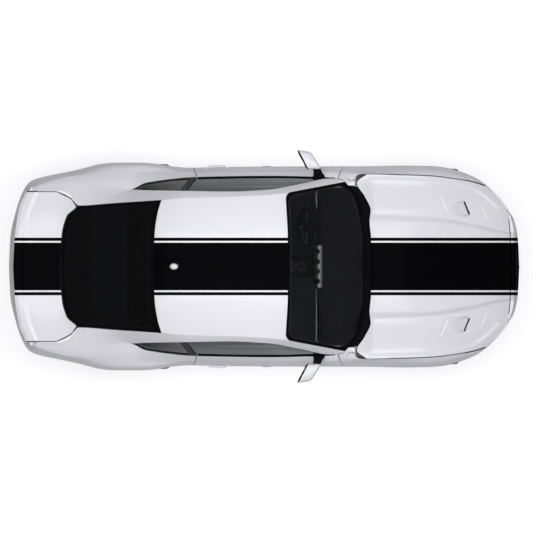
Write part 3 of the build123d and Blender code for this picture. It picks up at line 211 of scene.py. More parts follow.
def skin(s, z, depth=0.0):
    """The body side at distance s along the outline and height z, depth inside its surface."""
    inset = smooth([(level, smooth(INSET_ROWS, s, i + 1)) for i, level in enumerate(LEVELS)], z) + depth
    ahead, behind = min(s + 5, PATH_END), max(s - 5, 0)
    tx = smooth(PATH, ahead) - smooth(PATH, behind)
    ty = smooth(PATH, ahead, 2) - smooth(PATH, behind, 2)
    length = hypot(tx, ty)
    if s <= 0 or s >= PATH_END:
        tx, ty, length = 0.0, 1.0 if s <= 0 else -1.0, 1.0
    return (smooth(PATH, s) + ty / length * inset, smooth(PATH, s, 2) - tx / length * inset, z)


# ---------------------------------------------------------------- meshes
def finish_mesh(name, verts, faces, body, slot, material, replaces=(), sharp=38, bevel=0.0, attribute=None):
    """A piece from points in millimetres, riding on a body."""
    mesh = bpy.data.meshes.new(name)
    mesh.from_pydata([(x / 1000, y / 1000, z / 1000) for x, y, z in verts], [], faces)
    mesh.validate()
    work = bmesh.new()
    work.from_mesh(mesh)
    if work.calc_volume(signed=True) < 0:
        bmesh.ops.reverse_faces(work, faces=work.faces)
    work.to_mesh(mesh)
    work.free()
    mesh.polygons.foreach_set("use_smooth", [True] * len(mesh.polygons))
    mesh.set_sharp_from_angle(angle=radians(sharp))
    if attribute:
        values = mesh.attributes.new(attribute[0], "FLOAT", "POINT")
        values.data.foreach_set("value", attribute[1])
    piece = bpy.data.objects.new(name, mesh)
    bpy.context.scene.collection.objects.link(piece)
    for m in material if isinstance(material, (list, tuple)) else [material]:
        mesh.materials.append(m)
    if bevel:
        mod = piece.modifiers.new("edge", "BEVEL")
        mod.width, mod.segments, mod.limit_method, mod.angle_limit = bevel / 1000, 2, "ANGLE", radians(50)
        mod.harden_normals = True
    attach(piece, body)
    if replaces:
        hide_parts(*replaces)
    return piece


def shell(outer, inner, keep=lambda i, j: True):
    """Points and faces of a closed sheet between two matching grids."""
    rows, columns = len(outer), len(outer[0])
    cells = {(i, j) for i in range(rows - 1) for j in range(columns - 1) if keep(i, j)}
    verts, index = [], {}

    def at(layer, i, j):
        key = (layer, i, j)
        if key not in index:
            index[key] = len(verts)
            verts.append((outer if layer == 0 else inner)[i][j])
        return index[key]

    faces = []
    for i, j in sorted(cells):
        ring = [(i, j), (i + 1, j), (i + 1, j + 1), (i, j + 1)]
        faces.append([at(0, *c) for c in ring])
        faces.append([at(1, *c) for c in reversed(ring)])
        for n, other in enumerate([(i, j - 1), (i + 1, j), (i, j + 1), (i - 1, j)]):
            if other not in cells:
                c, d = ring[n], ring[(n + 1) % 4]
                faces.append([at(0, *d), at(0, *c), at(1, *c), at(1, *d)])
    return verts, faces


def flip(verts, faces):
    return [(x, -y, z) for x, y, z in verts], [list(reversed(f)) for f in faces]


def shift_grid(grid, dx=0.0, dy=0.0, dz=0.0):
    return [[(x + dx, y + dy, z + dz) for x, y, z in row] for row in grid]


def surface_normal(grid, i, j):
    a, b = Vector(grid[max(i - 1, 0)][j]), Vector(grid[min(i + 1, len(grid) - 1)][j])
    c, d = Vector(grid[i][max(j - 1, 0)]), Vector(grid[i][min(j + 1, len(grid[0]) - 1)])
    n = (b - a).cross(d - c)
    return n.normalized() if n.length > 1e-9 else Vector((0, 0, 1))


def offset_grid(grid, amount):
    """The grid moved along its normals."""
    return [[tuple(Vector(p) + surface_normal(grid, i, j) * amount) for j, p in enumerate(row)]
            for i, row in enumerate(grid)]


def both_sides(name, verts, faces, bodies, slot, material, nodes=None, **more):
    made = []
    for hand, body in zip(("left", "right"), bodies):
        v, f = (verts, faces) if hand == "left" else flip(verts, faces)
        replaces = tuple(n.format(hand) for n in nodes) if nodes else ()
        made.append(finish_mesh(f"{name}_{hand}", v, f, body, slot, material, replaces, **more))
    return made


def joined(*parts):
    """Several sets of points and faces as one."""
    verts, faces = [], []
    for v, f in parts:
        faces += [[i + len(verts) for i in face] for face in f]
        verts += list(v)
    return verts, faces


def box_part(x0, x1, y0, y1, z0, z1):
    v = [(x, y, z) for x in (x0, x1) for y in (y0, y1) for z in (z0, z1)]
    return v, [[0, 1, 3, 2], [4, 6, 7, 5], [0, 4, 5, 1], [2, 3, 7, 6], [0, 2, 6, 4], [1, 5, 7, 3]]


def tube_part(points, radius, sides=12, closed=False, squash=1.0):
    """A round bar along points; squash flattens it upright."""
    verts, faces = [], []
    n = len(points)
    for i, p in enumerate(points):
        p = Vector(p)
        a = Vector(points[(i - 1) % n] if closed or i else points[0])
        b = Vector(points[(i + 1) % n] if closed or i < n - 1 else points[-1])
        d = (b - a).normalized()
        side_way = d.cross(Vector((0, 0, 1)))
        if side_way.length < 1e-3:
            side_way = d.cross(Vector((0, 1, 0)))
        side_way.normalize()
        up = side_way.cross(d)
        r = radius[i] if isinstance(radius, (list, tuple)) else radius
        for k in range(sides):
            t = 2 * pi * k / sides
            verts.append(tuple(p + side_way * r * cos(t) + up * r * squash * sin(t)))
    for i in range(n if closed else n - 1):
        for k in range(sides):
            a, b = i * sides + k, i * sides + (k + 1) % sides
            c, d = ((i + 1) % n) * sides + (k + 1) % sides, ((i + 1) % n) * sides + k
            faces.append([a, b, c, d])
    if not closed:
        faces.append(list(reversed(range(sides))))
        faces.append([(n - 1) * sides + k for k in range(sides)])
    return verts, faces


def ring_part(profile, x, y, z, steps, closed=True):
    """A ring about a line along Y; profile points are (radius, y offset)."""
    verts, faces, m = [], [], len(profile)
    for i in range(steps):
        t = 2 * pi * i / steps
        verts += [(x + r * cos(t), y + w, z + r * sin(t)) for r, w in profile]
    for i in range(steps):
        for k in range(m if closed else m - 1):
            a, b = i * m + k, i * m + (k + 1) % m
            c, d = ((i + 1) % steps) * m + (k + 1) % m, ((i + 1) % steps) * m + k
            faces.append([a, b, c, d])
    return verts, faces


def disc_part(radius, x, y0, y1, z, steps=32):
    verts = [(x + radius * cos(2 * pi * i / steps), y, z + radius * sin(2 * pi * i / steps))
             for y in (y0, y1) for i in range(steps)]
    faces = [list(range(steps)), list(reversed(range(steps, 2 * steps)))]
    faces += [[i, i + steps, (i + 1) % steps + steps, (i + 1) % steps] for i in range(steps)]
    return verts, faces


def cut(piece, verts, faces):
    """Takes a closed volume out of a piece."""
    mesh = bpy.data.meshes.new("cutter")
    mesh.from_pydata([(x / 1000, y / 1000, z / 1000) for x, y, z in verts], [], faces)
    work = bmesh.new()
    work.from_mesh(mesh)
    bmesh.ops.recalc_face_normals(work, faces=work.faces)
    work.to_mesh(mesh)
    work.free()
    tool = bpy.data.objects.new("cutter", mesh)
    bpy.context.scene.collection.objects.link(tool)
    mod = piece.modifiers.new("cut", "BOOLEAN")
    mod.operation, mod.solver, mod.object = "DIFFERENCE", "EXACT", tool
    bpy.context.view_layer.update()
    others = [m for m in piece.modifiers if m.name != "cut"]
    for m in others:
        m.show_viewport = m.show_render = False
    depsgraph = bpy.context.evaluated_depsgraph_get()
    result = bpy.data.meshes.new_from_object(piece.evaluated_get(depsgraph))
    piece.modifiers.remove(mod)
    for m in others:
        m.show_viewport = m.show_render = True
    old, piece.data = piece.data, result
    result.name = old.name
    result.polygons.foreach_set("use_smooth", [True] * len(result.polygons))
    result.set_sharp_from_angle(angle=radians(38))
    bpy.data.objects.remove(tool)
    bpy.data.meshes.remove(mesh)
    return piece


# ---------------------------------------------------------------- materials
def material(name, **settings):
    m = bpy.data.materials.new(name)
    m.use_nodes = True
    shader = m.node_tree.nodes["Principled BSDF"]
    for key, value in settings.items():
        shader.inputs[key.replace("_", " ")].default_value = value
    return m, m.node_tree, shader


def node(tree, kind, **settings):
    n = tree.nodes.new(kind)
    for key, value in settings.items():
        setattr(n, key, value)
    return n


def maths(tree, operation, a, b=None, c=None):
    n = node(tree, "ShaderNodeMath", operation=operation)
    for i, value in enumerate((a, b, c)):
        if value is None:
            continue
        if isinstance(value, (int, float)):
            n.inputs[i].default_value = value
        else:
            tree.links.new(value, n.inputs[i])
    return n.outputs[0]


def place_coordinates(tree):
    """The point's place in the car's own frame, in metres."""
    coordinates = node(tree, "ShaderNodeTexCoord")
    parts = node(tree, "ShaderNodeSeparateXYZ")
    tree.links.new(coordinates.outputs["Object"], parts.inputs[0])
    return coordinates.outputs["Object"], parts.outputs


def noise(tree, vector, scale, detail=3.0, rough=0.5):
    n = node(tree, "ShaderNodeTexNoise")
    n.inputs["Scale"].default_value, n.inputs["Detail"].default_value = scale, detail
    n.inputs["Roughness"].default_value = rough
    tree.links.new(vector, n.inputs["Vector"])
    return n.outputs["Fac"]


def blend_colour(tree, factor, a, b):
    n = node(tree, "ShaderNodeMix", data_type="RGBA")
    for socket, value in ((n.inputs[0], factor), (n.inputs[6], a), (n.inputs[7], b)):
        if isinstance(value, (int, float)):
            socket.default_value = value
        elif isinstance(value, tuple):
            socket.default_value = (*value, 1)
        else:
            tree.links.new(value, socket)
    return n.outputs[2]


def bump(tree, shader, height, strength, distance):
    n = node(tree, "ShaderNodeBump")
    n.inputs["Strength"].default_value, n.inputs["Distance"].default_value = strength, distance
    tree.links.new(height, n.inputs["Height"])
    tree.links.new(n.outputs[0], shader.inputs["Normal"])


def step_up(tree, value, edge, width):
    """0 below an edge, 1 above it, over a narrow width."""
    return maths(tree, "MULTIPLY_ADD", value, 1 / width, 0.5 - edge / width)


def clamp(tree, value):
    n = node(tree, "ShaderNodeClamp")
    tree.links.new(value, n.inputs[0])
    return n.outputs[0]


def ramp_between(tree, value, low, high, soft=0.0012):
    """1 where low < value < high."""
    up, down = clamp(tree, step_up(tree, value, low, soft)), clamp(tree, step_up(tree, value, high, soft))
    return maths(tree, "SUBTRACT", up, down)


def paint(name, stripes):
    """Pearl white with a clear coat; the stripes are a low-gloss black laid along the car."""
    m, tree, shader = material(name, Roughness=0.4, Specular_IOR_Level=0.0, Coat_Roughness=0.08, Coat_IOR=1.45)
    vector, xyz = place_coordinates(tree)
    tone = maths(tree, "MULTIPLY_ADD", noise(tree, vector, 1.7, 2.0), 0.05, 0.965)
    white = node(tree, "ShaderNodeCombineColor")
    for i, value in enumerate(WHITE):
        tree.links.new(maths(tree, "MULTIPLY", tone, value), white.inputs[i])
    colour = white.outputs[0]
    shader.inputs["Coat Weight"].default_value = 0.35
    shader.inputs["Metallic"].default_value = PEARL
    if stripes:
        y = maths(tree, "ABSOLUTE", xyz[1])
        band = ramp_between(tree, y, -1.0, 0.2235)
        line = ramp_between(tree, y, 0.2405, 0.2705)
        mask = maths(tree, "MAXIMUM", band, line)
        colour = blend_colour(tree, mask, colour, (0.0025, 0.0025, 0.003))
        tree.links.new(maths(tree, "MULTIPLY_ADD", mask, -0.345, 0.35), shader.inputs["Coat Weight"])
        tree.links.new(maths(tree, "MULTIPLY_ADD", mask, -PEARL, PEARL), shader.inputs["Metallic"])
    tree.links.new(colour, shader.inputs["Base Color"])
    flakes = noise(tree, vector, 900.0, 1.0)
    bump(tree, shader, flakes, 0.03, 0.0002)
    return m


def mottled(name, dark, light, scale, rough, metallic=0.0, bump_scale=None, bump_strength=0.2, distance=0.0005,
            **more):
    """A colour that varies a little, with a fine relief."""
    m, tree, shader = material(name, Metallic=metallic, Roughness=rough, **more)
    vector, _ = place_coordinates(tree)
    tree.links.new(blend_colour(tree, noise(tree, vector, scale, 4.0), dark, light), shader.inputs["Base Color"])
    rough_noise = maths(tree, "MULTIPLY_ADD", noise(tree, vector, scale * 2.3, 3.0), 0.16, max(rough - 0.08, 0.02))
    tree.links.new(rough_noise, shader.inputs["Roughness"])
    bump(tree, shader, noise(tree, vector, bump_scale or scale * 12, 3.0), bump_strength, distance)
    return m


def glass(name, tint, frit=False):
    m, tree, shader = material(name, Roughness=0.02, IOR=1.45, Specular_IOR_Level=0.05)
    shader.inputs["Specular Tint"].default_value = (0.12, 0.12, 0.13, 1)
    vector, _ = place_coordinates(tree)
    haze = maths(tree, "MULTIPLY_ADD", noise(tree, vector, 5.0), 0.03, 0.005)
    tree.links.new(haze, shader.inputs["Roughness"])
    shader.inputs["Transmission Weight"].default_value = 1.0
    if frit:
        edge = node(tree, "ShaderNodeAttribute", attribute_name="frit")
        mask = clamp(tree, step_up(tree, edge.outputs["Fac"], 0.5, 0.08))
        tree.links.new(blend_colour(tree, mask, tint, (0.004, 0.004, 0.005)), shader.inputs["Base Color"])
        tree.links.new(maths(tree, "SUBTRACT", 1.0, mask), shader.inputs["Transmission Weight"])
    else:
        tree.links.new(blend_colour(tree, noise(tree, vector, 2.0), tint, tuple(c * 0.92 for c in tint)),
                       shader.inputs["Base Color"])
    return m


def woven(name, dark, light, pitch=0.0022):
    """Cloth: two crossed threads."""
    m, tree, shader = material(name, Roughness=0.85, Sheen_Weight=0.25, Specular_IOR_Level=0.2)
    vector, xyz = place_coordinates(tree)
    weave = []
    for axis in (0, 1):
        wave = maths(tree, "SINE", maths(tree, "MULTIPLY", xyz[axis], 2 * pi / pitch))
        weave.append(maths(tree, "MULTIPLY_ADD", wave, 0.5, 0.5))
    third = maths(tree, "MULTIPLY_ADD", maths(tree, "SINE", maths(tree, "MULTIPLY", xyz[2], 2 * pi / pitch)),
                  0.5, 0.5)
    height = maths(tree, "MAXIMUM", maths(tree, "MAXIMUM", weave[0], weave[1]), third)
    tone = maths(tree, "MULTIPLY_ADD", noise(tree, vector, 14.0, 4.0), 0.5, maths(tree, "MULTIPLY", height, 0.5))
    tree.links.new(blend_colour(tree, tone, dark, light), shader.inputs["Base Color"])
    bump(tree, shader, height, 0.35, 0.0006)
    return m


def grained(name, dark, light, cell=420.0, rough=0.5, strength=0.3, shine=0.2):
    """Leather or moulded plastic: a cellular grain."""
    m, tree, shader = material(name, Roughness=rough, Specular_IOR_Level=shine)
    vector, _ = place_coordinates(tree)
    cells = node(tree, "ShaderNodeTexVoronoi", feature="DISTANCE_TO_EDGE")
    cells.inputs["Scale"].default_value = cell
    tree.links.new(vector, cells.inputs["Vector"])
    tree.links.new(blend_colour(tree, noise(tree, vector, 9.0, 4.0), dark, light), shader.inputs["Base Color"])
    bump(tree, shader, clamp(tree, maths(tree, "MULTIPLY", cells.outputs["Distance"], 6.0)), strength, 0.0006)
    return m


PEARL = 0.06               # share of the finish that mirrors light as flakes do
WHITE = (0.80, 0.80, 0.83)
PAINT = paint("pearl_white", False)
STRIPED = paint("pearl_white_striped", True)
BLACK_TRIM = grained("satin_black_trim", (0.003, 0.003, 0.0035), (0.007, 0.007, 0.008), 900.0, 0.6, 0.12, 0.03)
GLOSS_BLACK = mottled("gloss_black", (0.004, 0.004, 0.005), (0.009, 0.009, 0.010), 5.0, 0.12, bump_strength=0.02,
                      Specular_IOR_Level=0.06)
TINTED = glass("tinted_glass", (0.16, 0.17, 0.18))
SCREEN = glass("windscreen_glass", (0.34, 0.35, 0.37), frit=True)
REAR_SCREEN = glass("rear_glass", (0.07, 0.075, 0.08), frit=True)
CLEAR = glass("lamp_cover", (0.93, 0.94, 0.95))
RED_LENS = mottled("red_lens", (0.20, 0.002, 0.003), (0.34, 0.006, 0.008), 30.0, 0.12, bump_scale=260.0,
                   bump_strength=0.35, Coat_Weight=1.0)
CHROME = mottled("lamp_reflector", (0.60, 0.61, 0.63), (0.72, 0.73, 0.75), 8.0, 0.12, 1.0, bump_strength=0.02)
LAMP_GLOW = mottled("lamp_strip", (0.70, 0.71, 0.72), (0.82, 0.83, 0.84), 20.0, 0.3, bump_scale=200.0,
                    bump_strength=0.1)
MILKY = mottled("reverse_lens", (0.62, 0.62, 0.63), (0.74, 0.74, 0.75), 30.0, 0.15, bump_scale=260.0,
                bump_strength=0.35, Coat_Weight=1.0)
MIRROR = mottled("mirror_glass", (0.75, 0.77, 0.80), (0.80, 0.82, 0.84), 3.0, 0.03, 1.0, bump_strength=0.0)
ALLOY = mottled("dark_alloy", (0.05, 0.05, 0.055), (0.085, 0.085, 0.09), 22.0, 0.34, 0.85, bump_scale=700.0,
                bump_strength=0.12, Coat_Weight=0.5)
DISC = mottled("brake_disc", (0.30, 0.30, 0.30), (0.42, 0.42, 0.42), 60.0, 0.35, 1.0, bump_scale=500.0)
STEEL = mottled("tube_steel", (0.28, 0.27, 0.26), (0.45, 0.44, 0.43), 18.0, 0.38, 1.0, bump_scale=300.0)
IRON = mottled("cast_iron", (0.07, 0.07, 0.072), (0.14, 0.135, 0.13), 30.0, 0.62, 0.6, bump_scale=380.0,
               bump_strength=0.5, distance=0.001)
PRIMER = mottled("floor_sealer", (0.16, 0.16, 0.17), (0.24, 0.24, 0.25), 11.0, 0.6, bump_scale=160.0,
                 bump_strength=0.35, distance=0.001)
CHASSIS = mottled("chassis_black", (0.015, 0.015, 0.016), (0.035, 0.035, 0.035), 16.0, 0.5, bump_scale=240.0)
FELT = mottled("liner_felt", (0.012, 0.012, 0.012), (0.030, 0.030, 0.030), 40.0, 0.95, bump_scale=900.0,
               bump_strength=0.6, distance=0.0012)
RUBBER = mottled("tyre_rubber", (0.010, 0.010, 0.011), (0.026, 0.026, 0.027), 26.0, 0.78, bump_scale=520.0,
                 bump_strength=0.22)
CLOTH = woven("seat_cloth", (0.012, 0.012, 0.014), (0.055, 0.055, 0.060))
LEATHER = grained("black_leather", (0.012, 0.012, 0.013), (0.026, 0.026, 0.028), 420.0, 0.48, 0.35)
DASH = grained("dash_skin", (0.020, 0.020, 0.022), (0.038, 0.038, 0.041), 520.0, 0.62, 0.3)
SILVER_TRIM = mottled("silver_trim", (0.30, 0.30, 0.31), (0.42, 0.42, 0.43), 12.0, 0.3, 0.9, bump_strength=0.03)

NODE_MATERIALS = {"floor_pan": PRIMER, "wheel_liners": FELT, "front_subframe": CHASSIS, "rear_subframe": CHASSIS,
                  "knuckle_left": IRON, "knuckle_right": IRON, "engine_block": IRON, "exhaust": STEEL,
                  "splitter": BLACK_TRIM}
for name, finish in NODE_MATERIALS.items():
    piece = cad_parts[name]
    piece.data.materials.clear()
    piece.data.materials.append(finish)


# ---------------------------------------------------------------- body sides
SIDE_LEVELS = (SILL_BOTTOM, SILL_TOP, 450, BUMPER_TOP + TOUCH, 770, 860)
ROW_CREASE = len(SIDE_LEVELS)
ROW_BELT, ROW_RAIL, ROW_EDGE = ROW_CREASE + 1, ROW_CREASE + 2, ROW_CREASE + 3
PILLAR_W = 60
WINDOW_LEAN = ((985, DOOR_REAR_X + 41), (1250, -724), (1320, -750))
PILLAR_FOOT_X = 752
TAIL_X = -2216
TAIL_ENDS = ((0, 1000), (8, 1018), (18, 1032), (34, 1042))
CURVES = (CREASE, BELT, RAIL, EDGE)
ROW_Z = (890, 985, 1250, 1320)


def curve_point(curve, x):
    return Vector((x, smooth(curve, x), smooth(curve, x, 2)))


def rear_cut(z):
    return straight(REAR_CUT, z) if z < 985 else straight(WINDOW_LEAN, z)


def bezier(a, b, c, t):
    return a * (1 - t)**2 + b * 2 * t * (1 - t) + c * t * t


def divided(counts):
    """(cell, share) marks along a row of cells, each divided into its own count."""
    marks = [(k, i / n) for k, n in enumerate(counts) for i in range(n)]
    return marks + [(len(counts) - 1, 1.0)]


def body_side():
    rear_stations = (-2127, -1925, -1841, -1741, -1600, -1430, -1263, -1105, -963)
    opening = (-339, 0, 200, 340, 480, 620)
    columns = ([None] + [lambda z, x=x: x for x in rear_stations]
               + [lambda z: rear_cut(z) - SEAM - PILLAR_W, lambda z: rear_cut(z) - SEAM]
               + [lambda z, x=x: x for x in opening]
               + [lambda z: straight(FRONT_CUT, z) + SEAM if z < 940 else PILLAR_FOOT_X, lambda z: 1085])
    pillar, door_rear, door_front = 10, 11, len(columns) - 2
    counts = [6, 10, 5, 6, 8, 8, 8, 8, 8, 6, 3, 12, 12, 8, 6, 6, 6, 6, 8]
    rows = [4, 8, 9, 4, 6, 5, 6, 8, 6]
    tail = place(TAIL_X)

    def column_point(k, row, w):
        """A point of one column between two rows."""
        if k == 0:
            def at(n):
                if n < ROW_CREASE:
                    return Vector(skin(tail, SIDE_LEVELS[n]))
                depth, z = TAIL_ENDS[n - ROW_CREASE]
                return Vector(skin(tail, z, depth))
            if row < ROW_CREASE - 1:
                return Vector(skin(tail, mix(SIDE_LEVELS[row], SIDE_LEVELS[row + 1], w)))
            return at(row).lerp(at(row + 1), w)
        x_of = columns[k]
        if row < ROW_CREASE - 1:
            z = mix(SIDE_LEVELS[row], SIDE_LEVELS[row + 1], w)
            return Vector(skin(place(x_of(z)), z))
        if row == ROW_CREASE - 1:
            s = place(x_of(860))
            a, before = Vector(skin(s, 860)), Vector(skin(s, 850))
            c = curve_point(CREASE, x_of(890))
            return bezier(a, a + (a - before) * (c.z - a.z) * 0.05, c, w)
        n = row - ROW_CREASE
        a, c = curve_point(CURVES[n], x_of(ROW_Z[n])), curve_point(CURVES[n + 1], x_of(ROW_Z[n + 1]))
        point = a.lerp(c, w)
        if n == 0:
            point.z += 7 * 4 * w * (1 - w) * min(1, max(0, (-900 - point.x) / 300))
        elif n == 2:
            point.z += 3 * 4 * w * (1 - w)
            point.y += 3 * 4 * w * (1 - w)
        return point

    def offset(k, n):
        """From the outer skin to the inner at one row of one column."""
        if n < ROW_CREASE:
            s = tail if k == 0 else place(columns[k](SIDE_LEVELS[n]))
            z = SIDE_LEVELS[n]
            return Vector(skin(s, z, SILL_T if n < 2 else BODY_T)) - Vector(skin(s, z))
        if k == 0:
            if n == ROW_EDGE:
                return Vector((0, 0, -BODY_T))
            return Vector(skin(tail, 900, BODY_T)) - Vector(skin(tail, 900)) + Vector((0, 0, -20))
        inward, down = ((0.8, 0.6), (0.8, 0.6), (0.8, 0), (0, 1))[n - ROW_CREASE]
        if n == ROW_RAIL and columns[k](ROW_Z[2]) < -1300:
            inward, down = 0.1, 1
        return Vector((0, -inward, -down)) * BODY_T * (0.25 if k == door_front else 1)

    marks, levels = divided(counts), divided(rows)
    outer, inner = [], []
    for k, t in marks:
        out_line, in_line = [], []
        for n, w in levels:
            a, b = column_point(k, n, w), column_point(k + 1, n, w)
            x = mix(a.x, b.x, t)
            if n < ROW_CREASE - 1 and k > 0:
                z = mix(SIDE_LEVELS[n], SIDE_LEVELS[n + 1], w)
                point = Vector(skin(place(x), z))
            elif n >= ROW_CREASE and k > 0:
                m = n - ROW_CREASE
                xa = mix(columns[k](ROW_Z[m]), columns[k + 1](ROW_Z[m]), t)
                xc = mix(columns[k](ROW_Z[m + 1]), columns[k + 1](ROW_Z[m + 1]), t)
                flat = curve_point(CURVES[m], xa).lerp(curve_point(CURVES[m + 1], xc), w)
                bulge = a.lerp(b, t) - curve_mid(columns, k, m, w, t)
                point = flat + Vector((0, 0, bulge.z))
            else:
                point = a.lerp(b, t)
            o = offset(k, n).lerp(offset(k, n + 1), w).lerp(offset(k + 1, n).lerp(offset(k + 1, n + 1), w), t)
            out_line.append(tuple(point))
            in_line.append(tuple(point + o))
        outer.append(out_line)
        inner.append(in_line)

    def keep(i, j):
        k, n = marks[i][0], levels[j][0]
        if k >= door_front:
            return n < 1
        if k >= door_rear:
            return n < 1 or n >= ROW_RAIL
        if n < 3 and k < pillar and (k == 0 or columns[k](500) < -1500):
            return False
        return not (n == ROW_BELT and 7 <= k < pillar)

    return shell(outer, inner, keep)


def curve_mid(columns, k, m, w, t):
    """The flat point halfway, from which a panel's crown is measured."""
    ends = []
    for c in (k, k + 1):
        p = curve_point(CURVES[m], columns[c](ROW_Z[m])).lerp(curve_point(CURVES[m + 1], columns[c](ROW_Z[m + 1])), w)
        ends.append(p)
    return ends[0].lerp(ends[1], t)


def arch_cutter(end, y0, y1):
    return disc_part(TYRE_R[end] + ARCH_CLEARANCE, {"front": FRONT_AXLE_X, "rear": REAR_AXLE_X}[end], y0, y1,
                     TYRE_R[end], 96)


verts, faces = body_side()
SIDES = both_sides("body_side", verts, faces, ("body", "body"), "paint_white", [PAINT, GLOSS_BLACK],
                   ("side_body_{}",))
for piece, hand in zip(SIDES, (1, -1)):
    cut(piece, *arch_cutter("rear", hand * 500, hand * 1100))


QUARTER_TIP = (-1262, -1196)


def pillar_black(x, z):
    """The dark pillar between the side windows, and the tip behind the rear one."""
    if not smooth(BELT, x, 2) + 1 < z < smooth(RAIL, x, 2) - 1:
        return False
    pillar = rear_cut(z) - SEAM - PILLAR_W - 6 < x < rear_cut(z) - SEAM + 4
    return pillar or QUARTER_TIP[0] < x < QUARTER_TIP[1]


for piece in SIDES:
    for face in piece.data.polygons:
        face.material_index = int(pillar_black(face.center.x * 1000, face.center.z * 1000))


# ---------------------------------------------------------------- doors
def door_panel():
    levels = (SILL_TOP + SEAM, 880)
    steps, rows = 60, 34
    outer, inner = [], []
    for i in range(steps + 1):
        t = i / steps
        out_line, in_line = [], []
        for j in range(rows + 1):
            z = mix(*levels, j / rows)
            x = mix(straight(REAR_CUT, z), straight(FRONT_CUT, z), t)
            p = Vector(skin(place(x), z))
            out_line.append(tuple(p))
            in_line.append(tuple(p - Vector((0, DOOR_T, 0))))
        a, before = Vector(out_line[-1]), Vector(out_line[-2])
        belt = curve_point(BELT, mix(REAR_CUT[-1][1], FRONT_CUT[-1][1], t))
        for w in (0.25, 0.5, 0.75, 1.0):
            p = bezier(a, a + (a - before) * 0.9, belt, w)
            out_line.append(tuple(p))
            in_line.append(tuple(p - Vector((0, DOOR_T * mix(1, 0.7, w), 0))))
        outer.append(out_line)
        inner.append(in_line)
    return shell(outer, inner)


def handle_part(z=800):
    """The grip: a flattened bow on two feet."""
    x0, x1 = -545, -330
    y = skin(place(x0), z)[1]
    path = [(x0 + 4, y - 6, z), (x0 + 16, y + 8, z), (x0 + 36, y + 19, z), (x0 + 62, y + 23, z),
            (x1 - 62, y + 23, z), (x1 - 36, y + 19, z), (x1 - 16, y + 8, z), (x1 - 4, y - 6, z)]
    return tube_part(path, [10, 9, 7.5, 7, 7, 7.5, 9, 10], 16, squash=1.35)


DOOR = joined(door_panel())
for hand, sign in (("left", 1), ("right", -1)):
    v, f = DOOR if sign > 0 else flip(*DOOR)
    piece = finish_mesh(f"door_skin_{hand}", v, f, f"door_{hand}", "paint_white", PAINT, (f"door_{hand}",))
    pin_x = DOOR_FRONT_X - DOOR_HINGE_BACK
    for z in DOOR_HINGE_Z:
        cut(piece, *box_part(pin_x - 21, DOOR_FRONT_X + 40, sign * 780, sign * (DOOR_HINGE_Y + 15.5), z - 22, z + 22))
        pin = tube_part([(pin_x, sign * DOOR_HINGE_Y, z - 24), (pin_x, sign * DOOR_HINGE_Y, z + 24)], HINGE_PIN_R, 20)
        finish_mesh(f"door_pin_{hand}_{'low' if z < 500 else 'high'}", *pin, f"door_{hand}", "paint_white", STEEL)
    v, f = handle_part() if sign > 0 else flip(*handle_part())
    finish_mesh(f"door_handle_{hand}", v, f, f"door_{hand}", "paint_white", PAINT, bevel=0)


def leaf_part(z):
    """The hinge arm on the body, cranked round the door's front corner."""
    pin_x, face = DOOR_FRONT_X - DOOR_HINGE_BACK, 836
    bend = (pin_x + 53.7, DOOR_HINGE_Y - 115)
    ring = [(pin_x - 8, DOOR_HINGE_Y), (pin_x + 8, DOOR_HINGE_Y + 2), (bend[0] + 9, bend[1] + 8),
            (DOOR_FRONT_X + 18, face - 4), (DOOR_FRONT_X + 18, face - 20), (bend[0] - 2, bend[1] - 8)]
    n, half = len(ring), HINGE_STRAP / 2
    v = [(x, y, zz) for zz in (z - half, z + half) for x, y in ring]
    f = [list(range(n)), [n + i for i in reversed(range(n))]]
    f += [[i, i + n, (i + 1) % n + n, (i + 1) % n] for i in range(n)]
    return v, f


def eye_part(z, sign):
    """A bored eye round the hinge's pin."""
    x, y, half = DOOR_FRONT_X - DOOR_HINGE_BACK, sign * DOOR_HINGE_Y, HINGE_STRAP / 2
    v, f = [], []
    for i in range(32):
        a = 2 * pi * i / 32
        v += [(x + r * cos(a), y + r * sin(a), z + h)
              for r, h in ((15, -half), (15, half), (HINGE_PIN_R + 0.05, half), (HINGE_PIN_R + 0.05, -half))]
    for i in range(32):
        for k in range(4):
            f.append([i * 4 + k, i * 4 + (k + 1) % 4, (i + 1) % 32 * 4 + (k + 1) % 4, (i + 1) % 32 * 4 + k])
    return v, f


for hand, sign in (("left", 1), ("right", -1)):
    parts = [box_part(DOOR_FRONT_X + 15, DOOR_FRONT_X + 80, sign * 761, sign * 836, SILL_BOTTOM + 20, 870),
             box_part(722, DOOR_FRONT_X + 70, sign * 761, sign * 800, 860, 946)]
    for z in DOOR_HINGE_Z:
        v, f = leaf_part(z)
        v = [(x, sign * y, zz) for x, y, zz in v]
        arm = finish_mesh(f"hinge_arm_{hand}_{'low' if z < 500 else 'high'}", v, f, "body", "paint_white", PAINT)
        hole = tube_part([(DOOR_FRONT_X - DOOR_HINGE_BACK, sign * DOOR_HINGE_Y, z - 30),
                          (DOOR_FRONT_X - DOOR_HINGE_BACK, sign * DOOR_HINGE_Y, z + 30)], 14.5, 32)
        cut(arm, *hole)
        finish_mesh(f"hinge_eye_{hand}_{'low' if z < 500 else 'high'}", *eye_part(z, sign), "body",
                    "paint_white", STEEL)
    post = finish_mesh(f"hinge_post_{hand}", *joined(*parts), "body", "paint_white", PAINT)
    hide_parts(f"side_body_{hand}")


